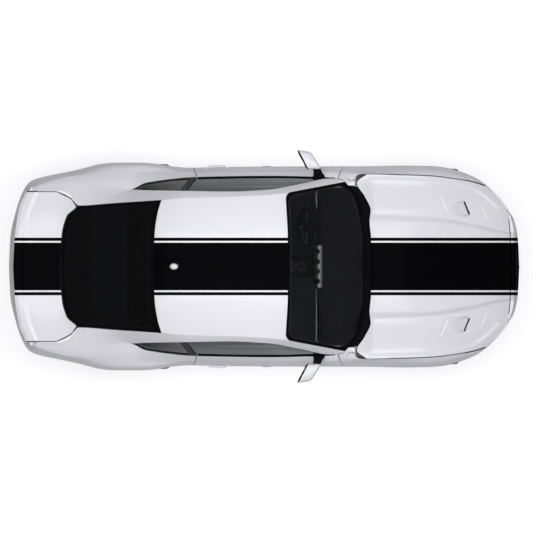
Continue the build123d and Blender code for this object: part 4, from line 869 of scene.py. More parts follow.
# ---------------------------------------------------------------- side glass
def side_glass(low, high, steps, low_gap, high_gap, rows=6):
    outer = []
    for i in range(steps + 1):
        t = i / steps
        x = mix(*low, t)
        a = Vector((x, smooth(BELT, x) - 12, smooth(BELT, x, 2) + low_gap))
        x = mix(*high, t)
        b = Vector((x, smooth(RAIL, x) - 4, smooth(RAIL, x, 2) - high_gap))
        line = []
        for j in range(rows + 1):
            w = j / rows
            p = a.lerp(b, w)
            p.y += 5 * 4 * w * (1 - w)
            line.append(tuple(p))
        outer.append(line)
    return shell(outer, shift_grid(outer, dy=-4.5))


both_sides("door_window", *side_glass((-626, 640), (-724, 606), 40, 0.5, 8), ("door_left", "door_right"),
           "glass_tint", TINTED, ("door_glass_{}",))
QUARTER = both_sides("quarter_window", *side_glass((-698, -1212), (-796, -1212), 16, 0.8, 1.2), ("body", "body"),
                     "glass_tint", TINTED)
for piece in QUARTER:
    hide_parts("quarter_glass")


def strip_along(name, curve, x0, x1, steps, width, height, inboard, up, body, slot, finish, sign=1):
    """A thin moulding along a shared curve."""
    path = [(x, smooth(curve, x) - inboard, smooth(curve, x, 2) + up)
            for x in (mix(x0, x1, i / steps) for i in range(steps + 1))]
    v, f = [], []
    ring = ((0, -height), (width, -height), (width, 0), (width * 0.5, height * 0.6), (0, height * 0.4))
    for x, y, z in path:
        v += [(x, sign * (y - dy), z + dz) for dy, dz in ring]
    n = len(ring)
    for i in range(steps):
        for k in range(n):
            f.append([i * n + k, i * n + (k + 1) % n, (i + 1) * n + (k + 1) % n, (i + 1) * n + k])
    f += [list(reversed(range(n))), [steps * n + k for k in range(n)]]
    return finish_mesh(name, v, f, body, slot, finish)


for hand, sign in (("left", 1), ("right", -1)):
    strip_along(f"door_belt_seal_{hand}", BELT, -624, 664, 60, 19, 4, 0, 2.6, f"door_{hand}", "trim_black",
                BLACK_TRIM, sign)
    strip_along(f"quarter_seal_{hand}", BELT, -1250, -700, 40, 15, 3, 0, 2.4, "body", "trim_black", GLOSS_BLACK, sign)
    strip_along(f"roof_gutter_{hand}", RAIL, -720, 600, 40, 7, 3, -1.5, -1, "body", "trim_black", BLACK_TRIM, sign)


# ---------------------------------------------------------------- front fenders
def fender():
    columns, low_rows, top_rows = 70, 30, 12
    outer, inner = [], []
    for i in range(columns + 1):
        t = i / columns
        low_line = []
        seam_x = mix(822, 1905, t)
        seam = curve_point(FENDER_SEAM, seam_x)
        if t == 1:
            s = place(1905)
            seam = Vector(skin(s, bonnet_edge_z(s)))
        z_up = mix(700, smooth(FENDER_SEAM, seam_x, 2), 0.55)
        for j in range(low_rows + 1):
            z = mix(SILL_TOP + TOUCH, z_up, j / low_rows)
            x = mix(straight(FRONT_CUT, z) + SEAM, 1905, t)
            low_line.append(Vector(skin(place(x), z)))
        a, before = low_line[-1], low_line[-4]
        lead = (a - before).normalized() * (seam - a).length * 0.55
        line = low_line + [bezier(a, a + lead, seam, w / top_rows) for w in range(1, top_rows + 1)]
        outer.append([tuple(p) for p in line])
    inner_offset = offset_grid(outer, -7)
    probe = Vector(inner_offset[30][10]) - Vector(outer[30][10])
    if probe.y > 0:
        inner_offset = offset_grid(outer, 7)
    for line, out_line in zip(inner_offset, outer):
        inner.append([tuple(p) for p in line])
        x, y, z = out_line[-1]
        inner[-1][-1] = (x, y - 1, z - FENDER_T)
    inner[0] = [(x, *inside[1:]) for (x, _, _), inside in zip(outer[0], inner[0])]
    return shell(outer, inner)


def bonnet_edge_z(s):
    x, y = smooth(PATH, s), smooth(PATH, s, 2)
    corner_x, corner_y, corner_z = FENDER_SEAM[-1]
    if y > corner_y:
        return smooth(FENDER_SEAM, min(x, corner_x), 2) - BONNET_T - 7
    t = y / corner_y
    return mix(BONNET_CENTRE[-1][2], corner_z, t) - 60 * t * (1 - t) - BONNET_T - 7


BONNET_T = 12


def fender_corner():
    """The fender's rear upper corner, between the door's slanted cut and the windscreen pillar's foot."""
    z_low = mix(700, smooth(FENDER_SEAM, 822, 2), 0.55)
    cut_line, seam_line = [], []
    low = Vector(skin(place(straight(FRONT_CUT, z_low) + SEAM), z_low))
    before = Vector(skin(place(straight(FRONT_CUT, z_low - 30) + SEAM), z_low - 30))
    tip = Vector((straight(FRONT_CUT, 936) + SEAM, smooth(BELT, 704) - 1, 942))
    seam = curve_point(FENDER_SEAM, 822)
    for i in range(13):
        w = i / 12
        cut_line.append(bezier(low, low + (low - before).normalized() * (tip - low).length * 0.5, tip, w))
        lead = (low - before).normalized() * (seam - low).length * 0.55
        seam_line.append(bezier(low, low + lead, seam, w))
    outer = []
    for j in range(15):
        line = []
        for i, (p, q) in enumerate(zip(cut_line, seam_line)):
            r = p.lerp(q, j / 14)
            fill = ease((r.x - 754) / 8) * ease((822 - r.x) / 30) * ease((i - 9) / 3)
            line.append((r.x, r.y - 20 * fill, r.z + 5 * fill))
        outer.append(line)
    outer = [[(x + 0.01 * j, y, z) for x, y, z in line] for j, line in enumerate(outer)]
    return shell(outer, shift_grid(outer, dx=0.5, dy=-5, dz=-3))


both_sides("fender_corner", *fender_corner(), ("body", "body"), "paint_white", PAINT)
FENDERS = both_sides("front_fender", *fender(), ("body", "body"), "paint_white", PAINT)
for piece, hand in zip(FENDERS, (1, -1)):
    cut(piece, *arch_cutter("front", hand * 500, hand * 1100))
    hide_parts("front_fenders")


# ---------------------------------------------------------------- bonnet
DOME = 27
OUTER_STEP, BONNET_SHOULDER = 19, 13
RELIEF_FROM, RELIEF_RUN = 925, 110   # the relief fades out ahead of the hinge
OUTER_CREASE = [(994, 849), (1557, 835), (1932, 770), (2120, 640), (2200, 560)]
OUTER_CREASE_LOW = [(994, 826), (1557, 798), (1932, 713), (2120, 590), (2200, 500)]
DOME_OUT = [(1003, 497), (1557, 469), (1932, 413), (2176, 345), (2317, 320)]
DOME_IN = [(1003, 427), (1557, 418), (1932, 366), (2176, 318), (2317, 305)]
SLOT_A, SLOT_B = (1872, 612), (1922, 486)


VENT_OUTLINE = [(1646, 670), (1870, 628), (2030, 556), (2088, 440), (1880, 472), (1715, 503)]


def vent(x, y):
    """Height change of the bonnet round its vent: a scoop falls forward to the slot, inside a scored outline."""
    edges = zip(VENT_OUTLINE, VENT_OUTLINE[1:] + VENT_OUTLINE[:1])
    inside = min(((by - ay) * (x - ax) - (bx - ax) * (y - ay)) / hypot(bx - ax, by - ay)
                 for (ax, ay), (bx, by) in edges)
    groove = -3.2 * exp(-(inside / 5.5)**2)
    if inside <= 0:
        return groove if inside > -20 else 0
    (ax, ay), (bx, by) = SLOT_A, SLOT_B
    length = hypot(bx - ax, by - ay)
    ux, uy = (bx - ax) / length, (by - ay) / length
    along = ((x - ax) * ux + (y - ay) * uy) / length
    behind = (x - ax) * uy - (y - ay) * ux
    across = ease((along + 0.12) / 0.16) * ease((1.12 - along) / 0.16) * ease(inside / 16)
    if behind >= 0:
        return groove - 24 * across * ease(1 - behind / 165)**1.2
    return groove - 24 * across * ease(1 + behind / 14) - 2 * ease(inside / 14)


def bonnet_point(u, v):
    side_x = mix(BONNET_REAR[-1][1], BONNET_FRONT[-1][1], v)
    edge_y = smooth(FENDER_SEAM, side_x) - SEAM
    edge = smooth(FENDER_SEAM, side_x, 2)
    a = abs(u)
    x = mix(smooth(BONNET_REAR, a * BONNET_REAR[-1][0]), smooth(BONNET_FRONT, a * BONNET_FRONT[-1][0]), v)
    y = a * edge_y
    middle = smooth(BONNET_CENTRE, mix(BONNET_REAR[0][1], BONNET_FRONT[0][1], v), 2)
    out, inn = smooth(DOME_OUT, x), smooth(DOME_IN, x)
    dome = DOME * (ease((out - y) / (out - inn)) - 1) * (1 - a**4)
    high, low = smooth(OUTER_CREASE, x), smooth(OUTER_CREASE_LOW, x)
    step = OUTER_STEP * (ease((y - low) / max(high - low, 1)) - 1) * (1 - a**6)
    shoulder = BONNET_SHOULDER * (1 - a**6) * ease(y / 300)
    shaped = (dome + step + shoulder) * ease((x - RELIEF_FROM) / RELIEF_RUN)
    z = mix(middle, edge, a**2.6) + shaped + vent(x, y)
    return (x, y if u >= 0 else -y, z)


def uneven(*runs):
    """Marks from runs of (start, end, count), for a grid that is finer where the form is."""
    marks = [mix(start, end, i / count) for start, end, count in runs for i in range(count)]
    return marks + [runs[-1][1]]


def bonnet():
    us = uneven((0, 0.49, 40), (0.49, 0.82, 50), (0.82, 1, 16))
    vs = uneven((0, 0.48, 52), (0.48, 0.84, 84), (0.84, 1, 24))
    grid = [[bonnet_point(u, v) for v in vs] for u in [-u for u in reversed(us[1:])] + us]
    front = len(vs) - 1
    below = shift_grid(grid, dz=-BONNET_T)
    for i, line in enumerate(grid):
        x, y, z = line[front]
        below[i][front] = (x - 3, y, z - BONNET_T)
    return shell(grid, below)


finish_mesh("hood_skin", *bonnet(), "hood", "paint_white", STRIPED, ("hood",), sharp=50, bevel=2.0)
z_pin = smooth(FENDER_SEAM, BONNET_HINGE_X, 2) - BONNET_HINGE_DROP
for hand, sign in (("left", 1), ("right", -1)):
    x = BONNET_HINGE_X
    lug = joined(box_part(x - 2, x + 62, sign * 785, sign * 795, z_pin - 6, z_pin + 12),
                 disc_part(11, x, sign * 785, sign * 795, z_pin, 24))
    finish_mesh(f"hood_hinge_lug_{hand}", *lug, "hood", "paint_white", CHASSIS)
    # The vent's slot: a gloss-black bar laid on the uncut bonnet, painted shade standing for the dark opening.
    ax, ay = SLOT_A
    bx, by = SLOT_B
    d = Vector((bx - ax, by - ay)).normalized()
    n = Vector((-d.y, d.x))
    ring = []
    for px, py, w in ((ax, ay, 5), (ax + d.x * 14, ay + d.y * 14, 9), (bx - d.x * 14, by - d.y * 14, 9), (bx, by, 5)):
        ring.append(((px - n.x * w + 6, py - n.y * w), (px + n.x * w + 6, py + n.y * w)))
    v, f = [], []
    for pair in ring:
        for px, py in pair:
            s_u = min(1, py / (smooth(FENDER_SEAM, px) - SEAM))
            s_v = (px - 1003) / (2317 - 1003)
            base = 0
            for _ in range(12):
                q = bonnet_point(s_u, s_v)
                s_v += (px - q[0]) / 1300
                s_u += (py - q[1]) / 850
            base = q[2]
            v += [(px, sign * py, base - 6), (px, sign * py, base + 0.8)]
    for i in range(3):
        a = i * 4
        f += [[a, a + 4, a + 5, a + 1], [a + 2, a + 3, a + 7, a + 6], [a + 1, a + 5, a + 7, a + 3],
              [a, a + 2, a + 6, a + 4]]
    f += [[0, 1, 3, 2], [12, 14, 15, 13]]
    finish_mesh(f"hood_slot_shade_{hand}", v, f, "hood", "trim_black", GLOSS_BLACK)


# ---------------------------------------------------------------- roof and glass
WINDSCREEN_BOTTOM_Z, WINDSCREEN_TOP_Z = (965, 957), (1322, 1298)
REAR_GLASS_TOP_Z, REAR_GLASS_BOTTOM_Z = (1301, 1284), (1080, 1096)


def edge_point(edge, heights, u):
    y = u * edge[-1][0]
    return (smooth(edge, y), y, mix(heights[0], heights[1], u**2.2))


def ruled(bottom, top, rows, columns, bulge):
    grid = []
    for j in range(-columns, columns + 1):
        u = j / columns
        low, high = edge_point(*bottom, abs(u)), edge_point(*top, abs(u))
        line = []
        for i in range(rows + 1):
            t = i / rows
            x, y, z = [mix(a, b, t) for a, b in zip(low, high)]
            line.append((x, y if u >= 0 else -y, z + bulge * 4 * t * (1 - t) * (1 - abs(u)**3)))
        grid.append(line)
    return grid


def inset_edge(edge, gap, forward):
    return [(y * (1 - gap / edge[-1][0]), x + forward) for y, x in edge]


def screen(name, bottom, top, bulge, thick, finish, nodes, border):
    """Curved glass with a printed border; border gives its width at the bottom, top and sides."""
    grid = ruled(bottom, top, 40, 46, bulge)
    inner = shift_grid(grid, dz=-thick)
    v, f = shell(grid, inner)
    span = {}
    rows, columns = len(grid), len(grid[0])
    for i in range(rows):
        for j in range(columns):
            p = Vector(grid[i][j])
            side_gap = min((p - Vector(grid[0][j])).length, (p - Vector(grid[-1][j])).length)
            low_gap = (p - Vector(grid[i][0])).length
            top_gap = (p - Vector(grid[i][-1])).length
            inside = min(low_gap - border[0], top_gap - border[1], side_gap - border[2])
            corner = border[3]
            a, b = side_gap - border[2], min(low_gap - border[0], top_gap - border[1])
            if a < corner and b < corner:
                inside = corner - hypot(corner - a, corner - b)
            value = min(1, max(0, 0.5 - inside / 40))
            span[grid[i][j]] = value
            span[inner[i][j]] = value
    values = [span[p] for p in v]
    return finish_mesh(name, v, f, "body", "glass_tint", finish, nodes, attribute=("frit", values))


screen("windscreen", (inset_edge(GLASS_BOTTOM, TOUCH, 0), WINDSCREEN_BOTTOM_Z),
       (inset_edge(GLASS_TOP, TOUCH, TOUCH), WINDSCREEN_TOP_Z), 14, 5.5, SCREEN, ("windshield",), (48, 30, 34, 70))
screen("rear_screen", (inset_edge(REAR_GLASS_BOTTOM, TOUCH, 0), REAR_GLASS_BOTTOM_Z),
       (inset_edge(REAR_GLASS_TOP, TOUCH, -TOUCH), REAR_GLASS_TOP_Z), 10, 5, REAR_SCREEN, ("rear_window",),
       (42, 55, 44, 70))


def roof():
    columns, rows = 60, 50
    grid = []
    for j in range(-columns, columns + 1):
        u = j / columns
        front = smooth(GLASS_TOP, abs(u) * GLASS_TOP[-1][0])
        rear = smooth(REAR_GLASS_TOP, abs(u) * REAR_GLASS_TOP[-1][0])
        line = []
        for i in range(rows + 1):
            t = i / rows
            side_x = mix(REAR_GLASS_TOP[-1][1], GLASS_TOP[-1][1], t)
            low, high = smooth(EDGE, side_x, 2), smooth(CENTRE, mix(-1036, 224, t), 2)
            line.append((mix(rear, front, t), u * (smooth(EDGE, side_x) - TOUCH), mix(high, low, abs(u)**2.2)))
        grid.append(line)
    return shell(grid, shift_grid(grid, dz=-ROOF_T + 2))


finish_mesh("roof_skin", *roof(), "body", "paint_white", STRIPED, ("roof_panel",), bevel=2.0)


def roof_height(x):
    return smooth(CENTRE, x, 2)


def fin():
    """The low aerial housing: an oval dome that tapers forward."""
    x0, rows, sides = -847, 10, 28
    v, f = [], []
    for i in range(rows + 1):
        t = i / rows
        r = sqrt(max(0, 1 - t**2.4))
        for k in range(sides):
            a = 2 * pi * k / sides
            lean = -10 * t
            px = x0 + lean + (39 if cos(a) > 0 else 36) * r * cos(a)
            py = 30 * r * sin(a)
            v.append((px, py, roof_height(px) + 0.5 + 34 * t - abs(py)**2 * 0.0002))
    for i in range(rows):
        for k in range(sides):
            f.append([i * sides + k, i * sides + (k + 1) % sides, (i + 1) * sides + (k + 1) % sides,
                      (i + 1) * sides + k])
    f += [list(reversed(range(sides))), [rows * sides + k for k in range(sides)]]
    return v, f


finish_mesh("aerial_fin", *fin(), "body", "paint_white", PAINT, ("antenna",))


# ---------------------------------------------------------------- panels round the nose and tail
def wrapped(nose, lefts, levels, across_each, up_each, depth, keep=lambda k, row: True):
    """A closed sheet that runs round the nose or tail, finely divided between the marks that bound its openings."""
    middle = PATH_END if nose else 0.0
    marks = [(abs(middle - s), 1) for s in lefts] + [(0.0, 1)] + [(abs(middle - s), -1) for s in reversed(lefts)]
    signed = [q * sign for q, sign in marks]
    cells = len(signed) - 1
    columns = [(k, mix(signed[k], signed[k + 1], i / across_each)) for k in range(cells) for i in range(across_each)]
    columns.append((cells - 1, signed[-1]))
    rows = [(r, i / up_each) for r in range(len(levels) - 1) for i in range(up_each)] + [(len(levels) - 2, 1.0)]
    outer, inner = [], []
    for k, q in columns:
        s = PATH_END - abs(q) if nose else abs(q)
        sign = 1 if q >= 0 else -1
        zs = [level(s) if callable(level) else level for level in levels]
        out_line, in_line = [], []
        for r, t in rows:
            z = mix(zs[r], zs[r + 1], t)
            x, y, _ = skin(s, z)
            out_line.append((x, sign * y, z))
            x, y, _ = skin(s, z, depth)
            in_line.append((x, sign * y, z))
        outer.append(out_line)
        inner.append(in_line)
    return shell(outer, inner, lambda i, j: keep(columns[i][0], rows[j][0]))


NOSE_TOP, LAMP_LOW = 686, 632
NOSE_PLACES = ([place(x) for x in (1905 + TOUCH, 1985, 2080)]
               + [place_y(y, True) for y in (680, 600, 510, 440, 300, 150)])
NOSE_LEVELS = (165, 215, 330, 440, 480, 590, LAMP_LOW, NOSE_TOP)


def nose_cells(k, row):
    """False where the bumper is open: lower intake, grille and lamps."""
    k = min(k, 2 * len(NOSE_PLACES) - 1 - k)
    return not ((row == 1 and k >= 4) or (4 <= row <= 6 and k >= 5) or (row == 6 and 1 <= k <= 3))


finish_mesh("bumper_front", *wrapped(True, NOSE_PLACES, (*NOSE_LEVELS, bonnet_edge_z), 8, 4, BUMPER_T, nose_cells),
            "body", "paint_white", STRIPED, ("front_bumper",), bevel=3.0)


# ---------------------------------------------------------------- head lamps
def lamp_sheet(low, high, depth, thick, s0, s1, steps=24, rows=6):
    outer, inner = [], []
    for i in range(steps + 1):
        s = mix(s0, s1, i / steps)
        outer.append([skin(s, mix(low, high, j / rows), depth) for j in range(rows + 1)])
        inner.append([skin(s, mix(low, high, j / rows), depth + thick) for j in range(rows + 1)])
    return shell(outer, inner)


def bowl(centre, facing, radius, depth, steps=32, rings=7):
    """A hollow reflector that opens along facing."""
    d = Vector(facing).normalized()
    a = d.cross(Vector((0, 0, 1))).normalized()
    b = a.cross(d)
    v, f = [], []
    for wall in (0.0, 1.6):
        for r in range(rings + 1):
            t = r / rings
            rad = (radius + wall) * sin(t * pi / 2) + 0.01
            back = (depth + wall) * cos(t * pi / 2)
            for k in range(steps):
                w = 2 * pi * k / steps
                v.append(tuple(Vector(centre) - d * back + a * rad * cos(w) + b * rad * sin(w)))
    layer = (rings + 1) * steps
    for base in (0, layer):
        for r in range(rings):
            for k in range(steps):
                f.append([base + r * steps + k, base + r * steps + (k + 1) % steps,
                          base + (r + 1) * steps + (k + 1) % steps, base + (r + 1) * steps + k])
        f.append([base + k for k in range(steps)])
    for k in range(steps):
        f.append([rings * steps + k, rings * steps + (k + 1) % steps,
                  layer + rings * steps + (k + 1) % steps, layer + rings * steps + k])
    return v, f


S_LAMP = (place(1985) + 1.5, place_y(600, True) - 1.5)
for hand, sign in (("left", 1), ("right", -1)):
    lens_mesh = lamp_sheet(LAMP_LOW + 1, NOSE_TOP - 1, 1.0, 2.4, *S_LAMP)
    tray = lamp_sheet(LAMP_LOW + 1, NOSE_TOP - 1, 44, 8, *S_LAMP)
    rims = joined(lamp_sheet(LAMP_LOW + 0.6, LAMP_LOW + 4, 3.6, 46, *S_LAMP, rows=1),
                  lamp_sheet(NOSE_TOP - 4, NOSE_TOP - 0.6, 3.6, 46, *S_LAMP, rows=1))
    bowls = []
    for share in (0.30, 0.52, 0.74):
        s = mix(*S_LAMP, share)
        z = (LAMP_LOW + NOSE_TOP) / 2
        outside, inside = Vector(skin(s, z, 12)), Vector(skin(s, z, 52))
        bowls.append(bowl(outside, outside - inside, 21, 26))
    strip_mesh = lamp_sheet(LAMP_LOW + 5, LAMP_LOW + 10, 8, 6, *S_LAMP, rows=1)
    for label, (v, f), slot, finish in (("lamp_cover", lens_mesh, "lamp_clear", CLEAR),
                                        ("lamp_tray", joined(tray, rims), "trim_black", GLOSS_BLACK),
                                        ("lamp_bowls", joined(*bowls), "lamp_clear", CHROME),
                                        ("lamp_strip", strip_mesh, "lamp_clear", LAMP_GLOW)):
        if sign < 0:
            v, f = flip(v, f)
        finish_mesh(f"{label}_{hand}", v, f, "body", slot, finish)
    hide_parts("headlamps")


# ---------------------------------------------------------------- grille
INTAKE_HALF, INTAKE_HEIGHTS = 590, (216, 329)


def honeycomb(half_width, low, high, pitch, bar, depth, thick):
    """Hexagonal cells in a frame, laid on the nose's curve."""
    s_edge = place_y(half_width, True)
    reach = PATH_END - s_edge
    v, f = [], []

    def stand(q, z, back):
        s = PATH_END - min(abs(q), reach)
        x, y, _ = skin(s, z, back)
        return (x, y if q >= 0 else -y, z)

    def rail(points, closed=True):
        """A flat bar along points, given as pairs (inner edge, outer edge)."""
        base, n = len(v), len(points)
        for (q0, z0), (q1, z1) in points:
            v.extend([stand(q0, z0, depth), stand(q1, z1, depth), stand(q1, z1, depth + thick),
                      stand(q0, z0, depth + thick)])
        for i in range(n if closed else n - 1):
            a, b = base + i * 4, base + (i + 1) % n * 4
            for k in range(4):
                f.append([a + k, a + (k + 1) % 4, b + (k + 1) % 4, b + k])

    def hexagon(q, z, radius):
        return [(min(reach, max(-reach, q + radius * cos(pi / 6 + k * pi / 3))),
                 min(high, max(low, z + radius * sin(pi / 6 + k * pi / 3)))) for k in range(6)]

    step_q, step_z = pitch * sqrt(3) / 2 * 1.0, pitch * 0.75
    rows = int((high - low) / step_z) + 2
    for r in range(-1, rows):
        z = low + r * step_z
        offset = step_q / 2 if r % 2 else 0
        count = int(reach / step_q) + 1
        for c in range(-count, count + 1):
            q = c * step_q + offset
            outer_ring, inner_ring = hexagon(q, z, pitch / 2), hexagon(q, z, pitch / 2 - bar)
            area = sum(a[0] * b[1] - b[0] * a[1] for a, b in zip(inner_ring, inner_ring[1:] + inner_ring[:1]))
            if area > pitch * 4:
                rail(list(zip(inner_ring, outer_ring)))
    edge = 7
    corners = [(-reach, low), (reach, low), (reach, high), (-reach, high)]
    frame_line, n = [], 24
    for (q0, z0), (q1, z1) in zip(corners, corners[1:] + corners[:1]):
        for i in range(n):
            q, z = mix(q0, q1, i / n), mix(z0, z1, i / n)
            iq, iz = max(-reach + edge, min(reach - edge, q)), max(low + edge, min(high - edge, z))
            frame_line.append(((iq, iz), (q, z)))
    rail(frame_line)
    return v, f


finish_mesh("grille_upper", *honeycomb(505, 481, NOSE_TOP - 1, 46, 4.0, BUMPER_T + 1, 9), "body", "trim_black",
            BLACK_TRIM, ("grille",), sharp=30)
finish_mesh("grille_lower", *honeycomb(INTAKE_HALF, *INTAKE_HEIGHTS, 46, 4.0, BUMPER_T + 1, 9), "body",
            "trim_black", BLACK_TRIM,
            sharp=30)


def intake_duct(near=BUMPER_T + 9, far=BUMPER_T + 52, wall=3, steps=48):
    """The trough behind the lower grille, which keeps light from its cells."""
    low, high = INTAKE_HEIGHTS
    reach = PATH_END - place_y(INTAKE_HALF, True)

    def section(q, inset):
        corners = ((low + inset, near), (low + inset, far - inset), (high - inset, far - inset), (high - inset, near))
        points = [skin(PATH_END - abs(q), z, depth) for z, depth in corners]
        return [(x, y if q >= 0 else -y, z) for x, y, z in points]

    across = [mix(-reach, reach, i / steps) for i in range(steps + 1)]
    return shell([section(q, 0) for q in across], [section(q, wall) for q in across])


finish_mesh("intake_duct", *intake_duct(), "body", "trim_black", BLACK_TRIM, sharp=30)


# ---------------------------------------------------------------- rear bumper and tail
REAR_PLACES = ([place(x) for x in (-1500, -1640, -1760, -1900, -2047, -2159, -2235)]
               + [place_y(y, False) for y in (620, 370, 200)])
REAR_LEVELS = (REAR_BUMPER_BOTTOM, 320, 420, 560, 640, BUMPER_TOP - TOUCH)
PIPE_CELL = len(REAR_PLACES) - 3


def pipe_cells(k, row):
    return not (row == 0 and min(k, 2 * len(REAR_PLACES) - 1 - k) == PIPE_CELL)


REAR = finish_mesh("bumper_rear", *wrapped(False, REAR_PLACES, REAR_LEVELS, 7, 4, BUMPER_T, pipe_cells), "body",
                   "paint_white", [PAINT, BLACK_TRIM], ("rear_bumper",), bevel=3.0)
for sign in (1, -1):
    cut(REAR, *arch_cutter("rear", sign * 400, sign * 1100))
    hole = [(x, sign * PLATE_SPACING / 2, PLATE_Z) for x in (-2450, -2300)]
    cut(REAR, *tube_part(hole, PLATE_HOLE_R, 20))
for face in REAR.data.polygons:
    if face.center.z < 0.395 and face.center.x < -1.45:
        face.material_index = 1

LID_DROP_Y = 400           # half width of the boot lid's panel between the tail lamps
TAIL_PLACES = [place(TAIL_X) - TOUCH] + [place_y(y, False) for y in (745, 440, LID_DROP_Y + 3 * SEAM, 200)]
TAIL_LEVELS = (BUMPER_TOP + TOUCH, 752, 800 - SEAM - 6, 965, 1014)


def tail_cells(k, row):
    k = min(k, 2 * len(TAIL_PLACES) - 1 - k)
    return not ((k == 1 and 1 <= row <= 2) or (k >= 3 and row >= 2))


finish_mesh("tail_frame", *wrapped(False, TAIL_PLACES, TAIL_LEVELS, 10, 4, 40, tail_cells), "body", "paint_white",
            PAINT, ("tail_panel",), bevel=2.0)

S_TAIL = (place_y(745, False) - TOUCH - 1, place_y(440, False) + TOUCH + 1)
for hand, sign in (("left", 1), ("right", -1)):
    trays, lenses = [], []
    trays.append(lamp_sheet(753, 964, 40, 8, *S_TAIL))
    for low, high in ((753, 758), (959, 964)):
        trays.append(lamp_sheet(low, high, 2, 40, *S_TAIL, rows=1))
    for n in range(4):
        low = 762 + n * 49.5
        lenses.append(lamp_sheet(low, low + 45, 1.5 + n % 2, 30, S_TAIL[0] - 5, S_TAIL[1] + 5, 30, 5))
    v, f = joined(*trays)
    w, g = joined(*lenses[:1], *lenses[2:])
    clear_v, clear_f = lenses[1]
    for label, mesh_parts, slot, finish in (("tail_tray", (v, f), "trim_black", GLOSS_BLACK),
                                            ("tail_lens", (w, g), "lamp_red", RED_LENS),
                                            ("tail_reverse", (clear_v, clear_f), "lamp_clear", MILKY)):
        p, q = mesh_parts if sign > 0 else flip(*mesh_parts)
        finish_mesh(f"{label}_{hand}", p, q, "body", slot, finish, bevel=1.2)
    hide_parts("tail_lamps")


# ---------------------------------------------------------------- boot lid
SPOILER_IN = [(0, -2262), (263, -2250), (480, -2205), (699, -2120)]   # y, x of the spoiler's front edge


def lid_height(x, y):
    edge_y, edge_z = smooth(EDGE, x), smooth(EDGE, x, 2)
    return mix(smooth(LID_CENTRE, x, 2), edge_z, (y / edge_y)**2)


SPOILER_RISE = 9


def boot_lid():
    rows, face_rows = 34, 10
    ys = sorted({mix(0, LID_DROP_Y, i / 24) for i in range(25)} | {mix(LID_DROP_Y, 699, i / 20) for i in range(21)})
    signed = [-y for y in reversed(ys[1:])] + ys
    outer, inner = [], []
    for y in signed:
        a = abs(y)
        front, lip = smooth(LID_FRONT, a), smooth(LID_LIP, a)
        if a > 565:
            front = straight([(565, -1765), (632, -1812), (699, -1945)], a)
        line = []
        for i in range(rows + 1):
            x = mix(front, lip, 1 - (1 - i / rows)**1.15)
            behind = smooth(SPOILER_IN, a) - x
            rise = SPOILER_RISE * ease(behind / 26) * ease((x - lip) / 30) if behind > 0 else 0
            line.append((x, y, lid_height(x, a) + rise))
        below = [(x, y, z - LID_T) for x, y, z in line[:-1]]
        x, _, z = line[-1]
        low = 30 if a <= LID_DROP_Y else LID_T + 2
        s = place_y(a, False)
        top_face = Vector((skin(s, 1040)[0] - 4, y, 1052))
        below.append((x + 26, y, z - low))
        corner = Vector((x, y, z))
        for i in range(1, 5):
            p = bezier(corner, corner + Vector((-3, 0, -12)), top_face, i / 4)
            line.append(tuple(p))
            below.append((x + 26 + 0.5 * i, y, min(z - low - 2 * i, p.z - 6)))
        for i in range(1, face_rows + 1):
            h = mix(1052, 800, i / face_rows)
            px = skin(s, h)[0] - (4 * max(0, 1 - i / 2))
            line.append((px, y, h))
            below.append((px + 26, y, h - 6))
        outer.append(line)
        inner.append(below)

    def keep(i, j):
        narrow = max(abs(signed[i]), abs(signed[i + 1])) <= LID_DROP_Y + 0.1
        return narrow or j < rows

    return shell(outer, inner, keep)


finish_mesh("trunk_skin", *boot_lid(), "trunk_lid", "paint_white", STRIPED, ("trunk_lid",), sharp=50, bevel=2.0)


def bent_strap(path, thickness, y0, y1):
    """A flat bar bent along (x, z) points, standing between two y."""
    lefts, rights = [], []
    for i, (x, z) in enumerate(path):
        ax, az = path[max(i - 1, 0)]
        bx, bz = path[min(i + 1, len(path) - 1)]
        d = hypot(bx - ax, bz - az)
        nx, nz = -(bz - az) / d * thickness / 2, (bx - ax) / d * thickness / 2
        lefts.append((x + nx, z + nz))
        rights.append((x - nx, z - nz))
    v = [(x, y, z) for line in (lefts, rights) for x, z in line for y in (y0, y1)]
    n = len(path)
    f = []
    for i in range(n - 1):
        a, b = 2 * i, 2 * (i + 1)
        c, d = 2 * n + a, 2 * n + b
        f += [[a, b, b + 1, a + 1], [c, c + 1, d + 1, d], [a, c, d, b], [a + 1, b + 1, d + 1, c + 1]]
    f += [[0, 1, 2 * n + 1, 2 * n], [2 * n - 2, 4 * n - 2, 4 * n - 1, 2 * n - 1]]
    return v, f


hinge_x, hinge_y, hinge_z = BOOT_HINGE
for hand, sign in (("left", 1), ("right", -1)):
    end_z = lid_height(-1840, hinge_y) - LID_T - hinge_z + 4
    corners = [Vector((x, z)) for x, z in ((0, 0), (-30, -120), (-130, -120), (-180, end_z))]
    path = [corners[0]]
    for a, b, c in zip(corners, corners[1:], corners[2:]):
        near_a, near_c = b + (a - b).normalized() * 26, b + (c - b).normalized() * 26
        path += [bezier(near_a, b, near_c, i / 6) for i in range(7)]
    path.append(corners[-1])
    strap = bent_strap([(hinge_x + p.x, hinge_z + p.y) for p in path], 14, sign * (hinge_y - 6), sign * (hinge_y + 6))
    eye = ring_part([(6.1, -6), (15, -6), (15, 6), (6.1, 6)], hinge_x, sign * hinge_y, hinge_z, 32)
    finish_mesh(f"trunk_hinge_{hand}", *joined(strap, eye), "trunk_lid", "paint_white", CHASSIS)


# ---------------------------------------------------------------- door mirrors
MIRROR_PLAN = [(399, 917), (354, 1003), (316, 1074), (316, 1087), (328, 1091), (380, 1084), (428, 1075), (455, 1050),
               (494, 990), (528, 934), (526, 919), (500, 914), (450, 915)]
MIRROR_LOW, MIRROR_HIGH = 968.5, 1079.5
MIRROR_RIM = 15            # dark band at the housing's open face


